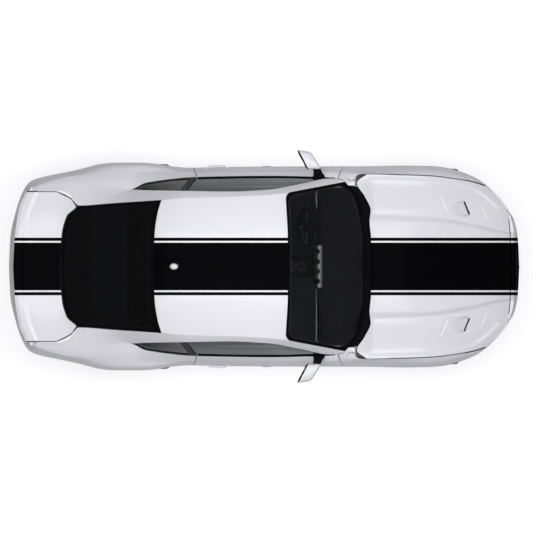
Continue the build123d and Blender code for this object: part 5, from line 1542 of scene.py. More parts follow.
def looped(points, each):
    """A closed outline made smooth through its points."""
    out, n = [], len(points)
    for i in range(n):
        p0, p1, p2, p3 = [Vector(points[(i + k) % n]) for k in (-1, 0, 1, 2)]
        for j in range(each):
            t = j / each
            out.append(0.5 * ((2 * p1) + (p2 - p0) * t + (2 * p0 - 5 * p1 + 4 * p2 - p3) * t**2
                              + (3 * p1 - p0 - 3 * p2 + p3) * t**3))
    return out


def mirror_shell():
    """A rounded housing, fuller at the front, swept back towards its outer end."""
    fine = looped(MIRROR_PLAN, 5)
    centre = Vector((420, 1000))
    levels = [(0.0, 0.72), (0.02, 0.80), (0.07, 0.89), (0.16, 0.95), (0.3, 0.985), (0.5, 1.0), (0.68, 0.99),
              (0.82, 0.955), (0.91, 0.90), (0.97, 0.82), (1.0, 0.72)]
    v, f = [], []
    for share, scale in levels:
        z = mix(MIRROR_LOW, MIRROR_HIGH, share)
        for p in fine:
            q = centre + (p - centre) * scale
            v.append((min(max(q.x, 311.5), 531), min(q.y, 1092.5), z))
    m = len(fine)
    for i in range(len(levels) - 1):
        for k in range(m):
            f.append([i * m + k, i * m + (k + 1) % m, (i + 1) * m + (k + 1) % m, (i + 1) * m + k])
    f += [list(reversed(range(m))), [(len(levels) - 1) * m + k for k in range(m)]]
    return v, f


def mirror_stalk():
    """The foot on the door's belt and the arm up to the housing."""
    z = smooth(BELT, 480, 2) + 1
    path = [(512, 840, z + 5), (508, 862, z + 16), (500, 892, z + 29), (490, 925, z + 41), (478, 950, z + 48)]
    arm = tube_part(path, [52, 44, 38, 34, 30], 24, squash=0.40)
    foot = tube_part([(512, 834, z + 5), (512, 850, z + 6), (510, 862, z + 9)], [60, 56, 46], 24, squash=0.12)
    return arm, foot


def mirror_plate(width, height, front, back):
    """A rounded plate on the housing's slanted rear face, between two depths behind that face."""
    inner_end, outer_end = Vector(MIRROR_PLAN[0]), Vector(MIRROR_PLAN[2])
    along = (outer_end - inner_end).normalized()
    out = Vector((-along.y, along.x))
    if out.x > 0:
        out = -out
    middle = (inner_end + outer_end) / 2
    v, n = [], 56
    for depth in (front, back):
        for k in range(n):
            a = 2 * pi * k / n
            w = width * abs(cos(a))**0.5 * (1 if cos(a) > 0 else -1)
            h = height * abs(sin(a))**0.5 * (1 if sin(a) > 0 else -1)
            p = middle + along * w + out * depth
            v.append((p.x, p.y, (MIRROR_LOW + MIRROR_HIGH) / 2 + h))
    f = [list(range(n)), [n + k for k in reversed(range(n))]]
    f += [[k, k + n, (k + 1) % n + n, (k + 1) % n] for k in range(n)]
    return v, f


MIRRORS = both_sides("mirror_housing", *mirror_shell(), ("door_left", "door_right"), "paint_white",
                     [PAINT, BLACK_TRIM],
                     ("mirror_{}",), sharp=60)
rear_in, rear_out = Vector(MIRROR_PLAN[0]), Vector(MIRROR_PLAN[2])
rear_way = (rear_out - rear_in).normalized()
for piece in MIRRORS:
    for face in piece.data.polygons:
        spot = Vector((face.center.x, abs(face.center.y))) * 1000 - rear_in
        depth = abs(rear_way.x * spot.y - rear_way.y * spot.x)
        face.material_index = int(depth < MIRROR_RIM)

arm, foot = mirror_stalk()
both_sides("mirror_arm", *joined(arm, foot), ("door_left", "door_right"), "trim_black", BLACK_TRIM)
both_sides("mirror_bezel", *mirror_plate(80, 47, 1.5, -16), ("door_left", "door_right"), "trim_black",
           BLACK_TRIM, bevel=2)
both_sides("mirror_face", *mirror_plate(74, 41, 2.6, -3), ("door_left", "door_right"), "glass_tint", MIRROR,
           bevel=0.8)


# ---------------------------------------------------------------- cowl and wipers
def cowl_panel():
    columns, rows = 60, 14
    grid = []
    for j in range(-columns, columns + 1):
        u = j / columns
        rear_x = smooth(GLASS_BOTTOM, abs(u) * 780)
        points = [Vector((rear_x - 20, u * 760, 938)), Vector((rear_x + 30, u * 760, 925)),
                  Vector((1040, u * 730, 912))]
        line = []
        for i in range(rows + 1):
            t = i / rows * 2
            p = points[0].lerp(points[1], t) if t < 1 else points[1].lerp(points[2], t - 1)
            ridge = 2.2 if 5 <= i <= 9 and (j % 3 == 0) and 0.1 < abs(u) < 0.85 else 0
            line.append((p.x, p.y, p.z + ridge))
        grid.append(line)
    return shell(grid, shift_grid(grid, dz=-8))


finish_mesh("cowl_panel", *cowl_panel(), "body", "trim_black", BLACK_TRIM, ("cowl",), sharp=25)
pin_z = smooth(FENDER_SEAM, BONNET_HINGE_X, 2) - BONNET_HINGE_DROP
for hand, sign in (("left", 1), ("right", -1)):
    x = BONNET_HINGE_X
    bracket = joined(box_part(x - 12, x + 12, sign * 765, sign * 775, 905, pin_z),
                     box_part(x - 30, x + 30, sign * 700, sign * 775, 905, 918),
                     disc_part(12, x, sign * 765, sign * 775, pin_z, 24),
                      disc_part(6, x, sign * 770, sign * 798, pin_z, 24))
    finish_mesh(f"hood_bracket_{hand}", *bracket, "body", "trim_black", CHASSIS)


def screen_point(share_y, up, lift):
    """A point over the windscreen: share_y across, up from its lower edge."""
    low = edge_point(GLASS_BOTTOM, WINDSCREEN_BOTTOM_Z, abs(share_y))
    high = edge_point(GLASS_TOP, WINDSCREEN_TOP_Z, abs(share_y))
    x, y, z = [mix(a, b, up) for a, b in zip(low, high)]
    return (x, y if share_y >= 0 else -y, z + 14 * 4 * up * (1 - up) * (1 - abs(share_y)**3) + lift)


for label, pivot, tip in (("left", (0.60, 0.0), (-0.06, 0.05)), ("right", (-0.12, 0.0), (-0.80, 0.06))):
    arm_path = [screen_point(mix(pivot[0], tip[0], t * 0.55), 0.02 * t, 9 + 2 * sin(pi * t))
                for t in (0, 0.2, 0.4, 0.6, 0.8, 1)]
    blade = [screen_point(mix(pivot[0], tip[0], t), mix(0.0, tip[1], t) + 0.012, 7)
             for t in (0.12, 0.3, 0.5, 0.7, 0.85, 1)]
    knob = screen_point(pivot[0], 0.0, 6)
    boss = tube_part([(knob[0] + 3, knob[1], knob[2] - 14), (knob[0] + 3, knob[1], knob[2] + 7)], [13, 11], 20)
    wiper = joined(tube_part(arm_path, [7, 6.5, 6, 5.5, 5, 4.5], 10, squash=0.55),
                   tube_part(blade, [3.5, 4.5, 5, 5, 4.5, 3.5], 10, squash=0.8), boss)
    finish_mesh(f"wiper_{label}", *wiper, "body", "trim_black", BLACK_TRIM)


# ---------------------------------------------------------------- seals with painted shade in the seams, nose lip, roof corners, door ovals
# A dark rubber strip laid under a seam: partly a real seal, partly painted shade that makes the gap read as a dark
# line.
def seam_seal(points, radius=7):
    return tube_part(points, radius, 10, squash=0.35)


def bonnet_seal():
    points = []
    for i in range(61):
        x = mix(872, 2080, i / 60)
        points.append((x, smooth(FENDER_SEAM, x) - SEAM / 2, smooth(FENDER_SEAM, x, 2) - BONNET_T - 7))
    return seam_seal(points)


def lid_seal():
    corner = [(569, -1771), (600, -1788), (636, -1814), (668, -1870), (692, -1925), (703, -1960), (703, -2100),
              (703, -2225)]
    return seam_seal([(x, y, lid_height(x, y) - LID_T - 6) for y, x in corner])


# The strips under the bonnet's and boot lid's side seams: partly real seals, partly painted shade for the gaps.
both_sides("hood_seal_and_shade", *bonnet_seal(), ("body", "body"), "trim_black", RUBBER, sharp=60)
both_sides("trunk_seal_and_shade", *lid_seal(), ("body", "body"), "trim_black", RUBBER, sharp=60)


def nose_lip():
    """The bumper's top edge, turned in towards the bonnet."""
    grid = []
    for i in range(-60, 61):
        x, y, z = bonnet_point(i / 60, 1.0)
        s = place_y(abs(y), True)
        edge_x, _, edge_z = skin(s, bonnet_edge_z(s))
        start = Vector((x + 8, y, z - 5))
        end = Vector((max(edge_x - 1, x + 12), y, edge_z - 1))
        turn = Vector((end.x - 2, y, z - 6))
        grid.append([tuple(bezier(start, turn, end, k / 8)) for k in range(9)])
    return shell(grid, shift_grid(grid, dx=-2, dz=-4))


finish_mesh("nose_lip", *nose_lip(), "body", "paint_white", STRIPED, sharp=50)


def corner_gusset(radius=58, lift=1.6):
    """The roof's rounded corner over the windscreen."""
    top_edge, low_edge = inset_edge(GLASS_TOP, TOUCH, TOUCH), inset_edge(GLASS_BOTTOM, TOUCH, 0)

    def over(from_side, from_top, up):
        t = 1 - from_top / 640
        width = mix(low_edge[-1][0], top_edge[-1][0], t)
        u = 1 - from_side / width
        low, high = edge_point(low_edge, WINDSCREEN_BOTTOM_Z, u), edge_point(top_edge, WINDSCREEN_TOP_Z, u)
        x, y, z = [mix(a, b, t) for a, b in zip(low, high)]
        return (x, y, z + 14 * 4 * t * (1 - t) * (1 - u**3) + up)

    outer = []
    for i in range(17):
        a = i / 16 * pi / 2
        d1, d2 = radius * (1 - cos(a)), radius * (1 - sin(a))
        outer.append([over(d1 * w, d2 * w, lift) for w in (0.0, 0.25, 0.5, 0.75, 1.0)])
    outer = [[(x, y + 0.002 * i, z) for x, y, z in line] for i, line in enumerate(outer)]
    return shell(outer, shift_grid(outer, dz=-1.2))


both_sides("header_corner", *corner_gusset(), ("body", "body"), "paint_white", PAINT, sharp=60)


def door_oval():
    x0, x1, z = -34, 80, 640
    path = []
    for i in range(13):
        x = mix(x0, x1, i / 12)
        path.append((x, skin(place(x), z)[1] + 3, z))
    return tube_part(path, [1.5] + [11 * sqrt(max(0.05, 1 - (2 * i / 12 - 1)**2)) for i in range(1, 12)] + [1.5], 20)


both_sides("door_oval", *door_oval(), ("door_left", "door_right"), "trim_black", SILVER_TRIM, sharp=60)

# ---------------------------------------------------------------- tyres
TREAD_PITCHES = 72
GROOVES = (-72, -26, 26, 72)


def tyre_mesh(end):
    r, w = TYRE_R[end], TYRE_W[end] / 2
    inner = RIM_R + 0.2
    outer_line = [(inner, -RIM_BEAD_W / 2), (inner + 5, -RIM_BEAD_W / 2 - 4), (inner + 13, -w + 3),
                  (inner + 22, -w + 0.5),
                  (inner + 30, -w + 2.5), (inner + 46, -w + 0.3), (r - 36, -w + 1.5), (r - 31, -w + 3.5),
                   (r - 24, -w + 4.5),
                  (r - 12, -w + 12), (r - 5, -w + 24)]
    tread = []
    half = w - 36
    for i in range(31):
        tread.append((None, -half + 2 * half * i / 30))
    far = [(p, -q) for p, q in reversed(outer_line)]
    inside = [(inner, RIM_BEAD_W / 2 - 24), (inner + 50, w - 34), (r - 26, w - 34), (r - 18, 0), (r - 26, -w + 34),
              (inner + 50, -w + 34), (inner, -RIM_BEAD_W / 2 + 24)]
    steps = TREAD_PITCHES * 8
    v, f = [], []
    for i in range(steps):
        a = 2 * pi * i / steps
        phase = i % 8
        c, s_a = cos(a), sin(a)
        ring = []
        for radius, y in outer_line:
            if radius > r - 14 and phase in (0, 1):
                radius -= 3
            ring.append((radius, y))
        for _, y in tread:
            crown = r - 7 * (abs(y) / half)**2.5 - 0.3
            depth = 0
            if any(abs(y - g * half / 92) < 5.5 for g in GROOVES):
                depth = 7
            shoulder = abs(y) > 0.80 * half
            slanted = int(phase + (abs(y) - 10) / 14) % 8
            if shoulder and phase in (0, 1):
                depth = 6
            elif not shoulder and abs(y) > 0.30 * half and slanted == 0:
                depth = max(depth, 5)
            ring.append((crown - depth, y))
        ring += far if phase not in (0, 1) else [(p - 3 if p > r - 14 else p, q) for p, q in far]
        ring += inside
        v += [(radius * c, y, radius * s_a) for radius, y in ring]
    m = len(ring)
    for i in range(steps):
        nxt = (i + 1) % steps
        for k in range(m):
            f.append([i * m + k, i * m + (k + 1) % m, nxt * m + (k + 1) % m, nxt * m + k])
    return v, f


def set_at(mesh_parts, end, sign):
    v, f = mesh_parts
    x, y, z = {"front": FRONT_AXLE_X, "rear": REAR_AXLE_X}[end], sign * TRACK[end] / 2, TYRE_R[end]
    placed = [(px + x, sign * py + y, pz + z) for px, py, pz in v]
    return placed, f if sign > 0 else [list(reversed(face)) for face in f]


# ---------------------------------------------------------------- wheels
SPOKES, DISC_R, SPOKE_FACE = 5, 178, 98
LUG_CIRCLE = 57


def spoke_pair(turn):
    """Two tapering arms that part towards the rim, dished and ribbed."""
    parts = []
    tip = RIM_R - 12
    for way in (-1, 1):
        rings, n = 14, 12
        v, f = [], []
        for i in range(rings + 1):
            t = i / rings
            radius = mix(48, tip, t)
            middle = way * mix(7, 34, t**1.15) * 1.0
            half = mix(12.5, 9.5, t) + 2.5 * max(0, t - 0.85) / 0.15
            front = SPOKE_FACE - 3 - 16 * (1 - t)**2 - 8 * t**3
            back = front - mix(34, 26, t)
            section = []
            for k in range(n):
                a = 2 * pi * k / n
                cx, sy = cos(a), sin(a)
                px = half * (abs(cx)**0.6) * (1 if cx > 0 else -1)
                py = mix(back, front, 0.5 + 0.5 * (abs(sy)**0.6) * (1 if sy > 0 else -1))
                if sy > 0.6:
                    py -= 1.6 * (1 - min(1, abs(px) / 4))
                section.append((middle + px, py, radius))
            v += section
        for i in range(rings):
            for k in range(n):
                f.append([i * n + k, i * n + (k + 1) % n, (i + 1) * n + (k + 1) % n, (i + 1) * n + k])
        f += [list(reversed(range(n))), [rings * n + k for k in range(n)]]
        parts.append((v, f))
    v, f = joined(*parts)
    c, s_a = cos(turn), sin(turn)
    return [(x * c + z * s_a, y, -x * s_a + z * c) for x, y, z in v], f


def wheel_meshes():
    half = RIM_BEAD_W / 2
    rim_profile = [(RIM_R - 0.6, -half - 7), (RIM_R - 0.4, -half), (RIM_R - 0.4, half), (RIM_R - 0.4, half + 5),
                   (RIM_R - 2, half + 7.5),
                   (RIM_R - 7, half + 7.5), (RIM_R - 9, half + 4), (RIM_R - 10, half - 6), (RIM_R - 17, half - 24),
                   (RIM_R - 17, -half + 18), (RIM_R - 10, -half + 2), (RIM_R - 9, -half - 5),
                    (RIM_R - 4, -half - 7.5)]
    barrel = ring_part(rim_profile, 0, 0, 0, 128)
    hub_profile = [(0.5, SPOKE_FACE - 16), (26, SPOKE_FACE - 16), (30, SPOKE_FACE - 14), (33, SPOKE_FACE - 20),
                   (66, SPOKE_FACE - 26),
                   (71, SPOKE_FACE - 32), (72, 40), (60, 34.5), (50, 34.5), (50, 20), (26.2, 20), (26.2, 34),
                    (0.5, 34)]
    hub = ring_part(hub_profile, 0, 0, 0, 80)
    cap = ring_part([(0.5, SPOKE_FACE - 8), (18, SPOKE_FACE - 8.5), (24, SPOKE_FACE - 11),
                     (26.5, SPOKE_FACE - 15), (0.5, SPOKE_FACE - 15)],
                    0, 0, 0, 48)
    spokes = [spoke_pair(2 * pi * n / SPOKES) for n in range(SPOKES)]
    nuts = []
    for n in range(SPOKES):
        a = 2 * pi * (n + 0.5) / SPOKES + pi / 2
        x, z = LUG_CIRCLE * cos(a) * 0.83, LUG_CIRCLE * sin(a) * 0.83
        nuts.append(disc_part(9.5, x, SPOKE_FACE - 30, SPOKE_FACE - 14, z, 6))
        nuts.append(disc_part(6.5, x, SPOKE_FACE - 15, SPOKE_FACE - 11.5, z, 18))
    rotor_profile = [(50, -26.5), (DISC_R, -26.5), (DISC_R, -20), (DISC_R - 3, -20), (DISC_R - 3, -16),
                     (DISC_R, -16), (DISC_R, -9.5),
                     (96, -9.5), (90, 2), (50, 4)]
    rotor = ring_part(rotor_profile, 0, 0, 0, 96)
    bell = ring_part([(26.3, -27.5), (50, -27.5), (50, 33.5), (26.3, 33.5)], 0, 0, 0, 48)
    valve = tube_part([(0, half - 20, -(RIM_R - 19)), (0, half - 4, -(RIM_R - 24)),
                       (0, half + 2, -(RIM_R - 27))], [4, 3.5, 3], 10)
    return joined(barrel, hub, *spokes, valve), joined(*nuts, cap), joined(rotor, bell)


ALLOY_PARTS, NUT_PARTS, ROTOR_PARTS = wheel_meshes()
for end in ("front", "rear"):
    rubber = tyre_mesh(end)
    for hand, sign in (("left", 1), ("right", -1)):
        body = f"wheel_{end}_{hand}"
        finish_mesh(f"tread_{end}_{hand}", *set_at(rubber, end, sign), body, "tyre", RUBBER,
                    (f"tyre_{end}_{hand}",), sharp=30)
        finish_mesh(f"alloy_{end}_{hand}", *set_at(ALLOY_PARTS, end, sign), body, "wheel_alloy", ALLOY, (body,),
                    sharp=45)
        finish_mesh(f"nuts_{end}_{hand}", *set_at(NUT_PARTS, end, sign), body, "wheel_alloy", GLOSS_BLACK, sharp=35)
        finish_mesh(f"rotor_{end}_{hand}", *set_at(ROTOR_PARTS, end, sign), body, "wheel_alloy", DISC, sharp=35)


# ---------------------------------------------------------------- cabin
def swept_profile(profile, ys, change=lambda x, y, z: (x, y, z)):
    """A closed profile of (x, z) points carried along y, with its ends closed."""
    n = len(profile)
    v = [change(x, y, z) for y in ys for x, z in profile]
    f = []
    for i in range(len(ys) - 1):
        for k in range(n):
            f.append([i * n + k, i * n + (k + 1) % n, (i + 1) * n + (k + 1) % n, (i + 1) * n + k])
    f += [list(reversed(range(n))), [(len(ys) - 1) * n + k for k in range(n)]]
    return v, f


def rounded(points, radius, steps=5):
    """A closed outline with its corners rounded."""
    out, n = [], len(points)
    for i in range(n):
        a, b, c = [Vector(points[(i + k) % n]) for k in (-1, 0, 1)]
        r = min(radius, (a - b).length * 0.45, (c - b).length * 0.45)
        p, q = b + (a - b).normalized() * r, b + (c - b).normalized() * r
        out += [tuple(bezier(p, b, q, j / steps)) for j in range(steps + 1)]
    return out


DASH_PROFILE = [(1004, 893), (720, 893), (640, 908), (530, 900), (484, 858), (502, 742), (562, 642), (700, 602),
                (1004, 641)]
DRIVER_Y = 370


def dash_shape(x, y, z):
    """The instrument hood ahead of the driver, and the panel's gentle sweep."""
    if z > 850 and x < 760:
        z += 34 * ease(1 - abs(y - DRIVER_Y) / 210) * ease((760 - x) / 180)
    if x < 720:
        x += 26 * (abs(y) / 735)**2.2
    return (x, y, z)


DASH_YS = [mix(-735, 735, i / 90) for i in range(91)]
finish_mesh("dash_panel", *swept_profile(rounded(DASH_PROFILE, 34, 6), DASH_YS, dash_shape), "body",
            "dash_plastic", DASH,
            ("dashboard",), sharp=50)


def round_vent(x, y, z, radius):
    """A vent: a bezel ring and its blades, facing back."""
    parts = []
    ring_v, ring_f = ring_part([(radius - 5, 0), (radius, 0), (radius + 1.5, 5), (radius - 1, 12),
                                (radius - 6, 12)], 0, 0, 0, 40)
    parts.append(([(x - py, y + px, z + pz) for px, py, pz in ring_v], ring_f))
    for k in (-1, 0, 1):
        h = k * radius * 0.5
        reach = sqrt(radius**2 - h**2) - 5
        parts.append(box_part(x - 8, x - 2, y - reach, y + reach, z + h - 1.2, z + h + 1.2))
    parts.append(box_part(x - 9, x - 3, y - 1.5, y + 1.5, z - radius + 6, z + radius - 6))
    return joined(*parts)


def disc_part_up(x, y, z0, z1, radius, steps=32):
    v = [(x + radius * cos(2 * pi * i / steps), y + radius * sin(2 * pi * i / steps), z)
         for z in (z0, z1) for i in range(steps)]
    f = [list(reversed(range(steps))), list(range(steps, 2 * steps))]
    f += [[i, (i + 1) % steps, (i + 1) % steps + steps, i + steps] for i in range(steps)]
    return v, f


def facing_panel(y0, y1, z0, z1, x, thick):
    return box_part(x, x + thick, y0, y1, z0, z1)


POD = [(468, 902), (458, 850), (482, 724), (540, 700), (555, 914), (512, 923)]
pod_ys = [mix(-196, 196, i / 24) for i in range(25)]
finish_mesh("dash_pod", *swept_profile(rounded(POD, 20), pod_ys), "body", "dash_plastic", SILVER_TRIM, sharp=45)
finish_mesh("dash_vents", *joined(*[round_vent(470, y, 868, 36) for y in (-138, -46, 46, 138)],
                                  *[round_vent(512, sign * 640, 850, 36) for sign in (-1, 1)]),
            "body", "dash_plastic", GLOSS_BLACK, sharp=35)
finish_mesh("dash_tops", *joined(*[disc_part_up(500, y, 915, 925, 26) for y in (-138, -46, 46, 138)]), "body",
            "dash_plastic", GLOSS_BLACK, sharp=35)
finish_mesh("dash_screen", *joined(facing_panel(-112, 112, 742, 822, 468, 12)), "body", "dash_plastic",
            GLOSS_BLACK, bevel=4)
knobs = [tube_part([(488, y, 712), (470, y, 712)], [17, 15], 28) for y in (-70, 70)]
keys = [box_part(474, 490, y - 11, y + 11, 694, 708) for y in (-40, -14, 14, 40)]
finish_mesh("dash_controls", *joined(*knobs, *keys), "body", "dash_plastic", BLACK_TRIM, bevel=1.5)
finish_mesh("dash_glovebox", *joined(box_part(512, 530, -640, -240, 668, 790)), "body", "dash_plastic", DASH, bevel=8)
finish_mesh("dash_trim", *joined(box_part(484, 496, -700, -215, 812, 828),
                                 box_part(484, 496, 560, 700, 812, 828)), "body",
            "dash_plastic", SILVER_TRIM, bevel=3)


def gauge(y, z, radius):
    """A dial in the instrument hood: a bezel, a face and a needle."""
    ring_v, ring_f = ring_part([(radius - 4, 0), (radius, 0), (radius, 10), (radius - 4, 10)], 0, 0, 0, 40)
    ring = ([(478 - py, y + px, z + pz) for px, py, pz in ring_v], ring_f)
    return ring, box_part(470, 472, y - 1.2, y + 1.2, z, z + radius * 0.8)


dials = [gauge(DRIVER_Y - 66, 862, 46), gauge(DRIVER_Y + 66, 862, 46), gauge(DRIVER_Y, 846, 24)]
finish_mesh("dash_dials", *joined(*[ring for ring, _ in dials]), "body", "dash_plastic", SILVER_TRIM, sharp=35)
finish_mesh("dash_needles", *joined(*[needle for _, needle in dials]), "body", "dash_plastic", RED_LENS)

# ---------------------------------------------------------------- steering wheel
WHEEL_CENTRE, COLUMN_TILT = Vector((395, 370, 850)), radians(-65)


def tilted(parts):
    """From the wheel's own frame, with its axis along z, to the car's."""
    turn = Matrix.Rotation(COLUMN_TILT, 3, "Y")
    v, f = parts
    return [tuple(WHEEL_CENTRE + turn @ Vector(p)) for p in v], f


def wheel_rim():
    points, radii = [], []
    for i in range(96):
        a = 2 * pi * i / 96
        points.append((178 * cos(a), 178 * sin(a), 0))
        grip = max(0, cos(2 * (a - pi / 2)))
        radii.append(14 + 1.0 * grip)
    return tube_part(points, radii, 16, closed=True)


def spoke_arm(turn):
    path = [(52, 0, 3), (80, 0, -1), (120, 0, -5), (150, 0, -4), (168, 0, 0)]
    v, f = tube_part(path, [20, 15, 12, 12, 14], 16, squash=0.42)
    c, s_a = cos(turn), sin(turn)
    return [(x * c - y * s_a, x * s_a + y * c, z) for x, y, z in v], f


def turned(profile, steps=48):
    """A solid of revolution about z, from (radius, z) points."""
    v, f, m = [], [], len(profile)
    for i in range(steps):
        a = 2 * pi * i / steps
        v += [(r * cos(a), r * sin(a), z) for r, z in profile]
    for i in range(steps):
        for k in range(m - 1):
            f.append([i * m + k, i * m + k + 1, (i + 1) % steps * m + k + 1, (i + 1) % steps * m + k])
    return v, f


hub = turned([(0.2, 22), (30, 20), (46, 14), (54, 2), (52, -14), (40, -20), (0.2, -20)])
column = turned([(0.2, -18), (25.5, -18), (25.5, -240), (0.2, -240)])
stalks = [tube_part([(0, sign * 20, -42), (0, sign * 80, -40), (0, sign * 128, -30)], [7, 6, 8],
                    12) for sign in (-1, 1)]
finish_mesh("wheel_rim", *tilted(wheel_rim()), "body", "wheel_leather", LEATHER, ("steering_wheel",), sharp=60)
finish_mesh("wheel_spokes", *tilted(joined(*[spoke_arm(a) for a in (0, pi / 2, pi, 3 * pi / 2)])), "body",
            "wheel_leather", SILVER_TRIM, sharp=50)
finish_mesh("wheel_hub", *tilted(joined(hub, column, *stalks)), "body", "wheel_leather", DASH, sharp=50)


# ---------------------------------------------------------------- centre console
def console_block():
    profile = rounded([(520, 331), (520, 545), (460, 559), (60, 556), (-120, 548), (-200, 559), (-545, 559),
                       (-559, 540),
                       (-559, 331)], 18)

    def taper(x, y, z):
        return (x, y * (1 - 0.10 * max(0, (z - 500) / 60)), z)

    return swept_profile(profile, [mix(-104, 104, i / 12) for i in range(13)], taper)


finish_mesh("console_block", *console_block(), "body", "dash_plastic", DASH, ("center_console",), sharp=50)


def armrest():
    """A crowned lid over the rear of the console."""
    columns, rows = 26, 14
    grid = []
    for i in range(columns + 1):
        x = mix(-540, -215, i / columns)
        line = []
        for j in range(rows + 1):
            u = -1 + 2 * j / rows
            v = -1 + 2 * i / columns
            crown = 30 * (1 - abs(u)**4) * (1 - abs(v)**6)
            line.append((x, 92 * u * (1 - 0.06 * abs(v)**4), 560 + crown))
        grid.append(line)
    return shell(grid, [[(x, y, 552) for x, y, z in line] for line in grid])


finish_mesh("console_armrest", *armrest(), "body", "cabin_fabric", LEATHER, sharp=60)
lever = tube_part([(120, 0, 550), (117, 0, 600), (110, 0, 648)], [9, 8, 8], 14)
gaiter = turned([(48, 0), (40, 14), (42, 20), (30, 32), (32, 38), (18, 52), (9, 70)], 32)
knob = turned([(0.2, 44), (18, 40), (26, 24), (24, 8), (12, 0), (0.2, 0)], 28)
finish_mesh("gear_lever", *joined(lever, ([(x + 108, y, z + 646) for x, y, z in knob[0]], knob[1])), "body",
            "dash_plastic",
            GLOSS_BLACK, sharp=45)
finish_mesh("gear_gaiter", [(x + 120, y, z + 556) for x, y, z in gaiter[0]], gaiter[1], "body", "dash_plastic",
            LEATHER,
            sharp=70)
cups = []
for x in (250, 345):
    v, f = turned([(34, 3), (38, 4), (42, 2), (42, -1), (34, -1)], 36)
    cups.append(([(px + x, py, pz + 558) for px, py, pz in v], f + []))
finish_mesh("console_cups", *joined(*cups), "body", "dash_plastic", SILVER_TRIM, sharp=40)


# ---------------------------------------------------------------- seats
def cushion_grid(spine, half_width, thickness, columns=40, rows=44, bolster=26, channels=(), tuck=0.0):
    """A padded slab along a spine of (x, z, thickness share): bolsters at its sides, sewn channels across."""
    top, under = [], []
    for i in range(columns + 1):
        u = -1 + 2 * i / columns
        line_top, line_under = [], []
        for j in range(rows + 1):
            t = j / rows
            p, n = spine_at(spine, t)
            pull = 1 - 0.05 * (2 * t - 1)**4 - tuck * t
            edge = max(abs(u)**8, abs(2 * t - 1)**10)
            swell = (1 - abs(u)**6) * (1 - abs(2 * t - 1)**8)
            side_pad = bolster * exp(-((abs(u) - 0.80) / 0.13)**2) * (1 - abs(2 * t - 1)**6)
            seam = sum(6.5 * exp(-((t - c) / 0.010)**2) for c in channels) if abs(u) < 0.62 else 0
            seam += 7 * exp(-((abs(u) - 0.62) / 0.018)**2)
            rise = thickness * 0.5 * swell + side_pad - seam * swell
            y = u * half_width * pull
            line_top.append((p.x + n.x * rise, y, p.y + n.y * rise))
            line_under.append((p.x - n.x * thickness * 0.5 * (1 - edge), y, p.y - n.y * thickness * 0.5 * (1 - edge)))
        top.append(line_top)
        under.append(line_under)
    for line_top, line_under in ((top[0], under[0]), (top[-1], under[-1])):
        for j in range(rows + 1):
            middle = (Vector(line_top[j]) + Vector(line_under[j])) / 2
            line_top[j] = tuple(middle.lerp(Vector(line_top[j]), 0.9))
    return shell(top, under)


def spine_at(spine, t):
    """Place and normal on a smooth spine of (x, z) points."""
    table = [(i / (len(spine) - 1), *p) for i, p in enumerate(spine)]
    p = Vector((smooth(table, t), smooth(table, t, 2)))
    a, b = max(0, t - 0.02), min(1, t + 0.02)
    d = Vector((smooth(table, b) - smooth(table, a), smooth(table, b, 2) - smooth(table, a, 2))).normalized()
    return p, Vector((-d.y, d.x))


def moved_y(parts, dy):
    v, f = parts
    return [(x, y + dy, z) for x, y, z in v], f


SEAT_Y = 395
base_spine = [(-215, 400), (-120, 392), (60, 404), (190, 428), (248, 432)]
back_spine = [(-232, 470), (-250, 600), (-282, 760), (-322, 900), (-346, 972)]
head_spine = [(-338, 985), (-336, 1050), (-344, 1108)]
for hand, sign in (("left", 1), ("right", -1)):
    base = moved_y(cushion_grid(base_spine, 240, 92, channels=(0.28, 0.46, 0.64, 0.82)), sign * SEAT_Y)
    back = cushion_grid([(x, z) for x, z in reversed(back_spine)], 236, 88, bolster=30,
                        channels=(0.30, 0.44, 0.58, 0.72, 0.86))
    rest = cushion_grid([(x, z) for x, z in reversed(head_spine)], 112, 74, columns=26, rows=22, bolster=4)
    for label, parts, fill in (("base", base, 0.8), ("back", moved_y(back, sign * SEAT_Y), 0.8),
                               ("rest", moved_y(rest, sign * SEAT_Y), 0.85)):
        pad = finish_mesh(f"seat_{label}_{hand}", *parts, "body", "cabin_fabric",
                          CLOTH if label != "rest" else LEATHER, sharp=70)
        if label == "base":
            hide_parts("front_seats")
    posts = [tube_part([(-352, sign * SEAT_Y + dy, 930), (-346, sign * SEAT_Y + dy, 1010)], 6,
                       12) for dy in (-45, 45)]
    finish_mesh(f"seat_posts_{hand}", *joined(*posts), "body", "cabin_fabric", SILVER_TRIM)
    shell_back = swept_profile(rounded([(-268, 395), (-300, 400), (-392, 930), (-372, 960), (-345, 930)], 14),
                               [sign * SEAT_Y + mix(-214, 214, i / 10) for i in range(11)])
    plinth = joined(box_part(-200, 200, sign * 190, sign * 222, 184, 352),
                    box_part(-200, 200, sign * 568, sign * 600, 184, 352),
                    box_part(-190, 190, sign * 222, sign * 568, 300, 345))
    rails = [box_part(-230, 230, sign * y0, sign * (y0 + 26), 184, 202) for y0 in (193, 571)]
    finish_mesh(f"seat_shell_{hand}", *joined(shell_back, plinth, *rails), "body", "cabin_fabric", DASH, bevel=4)

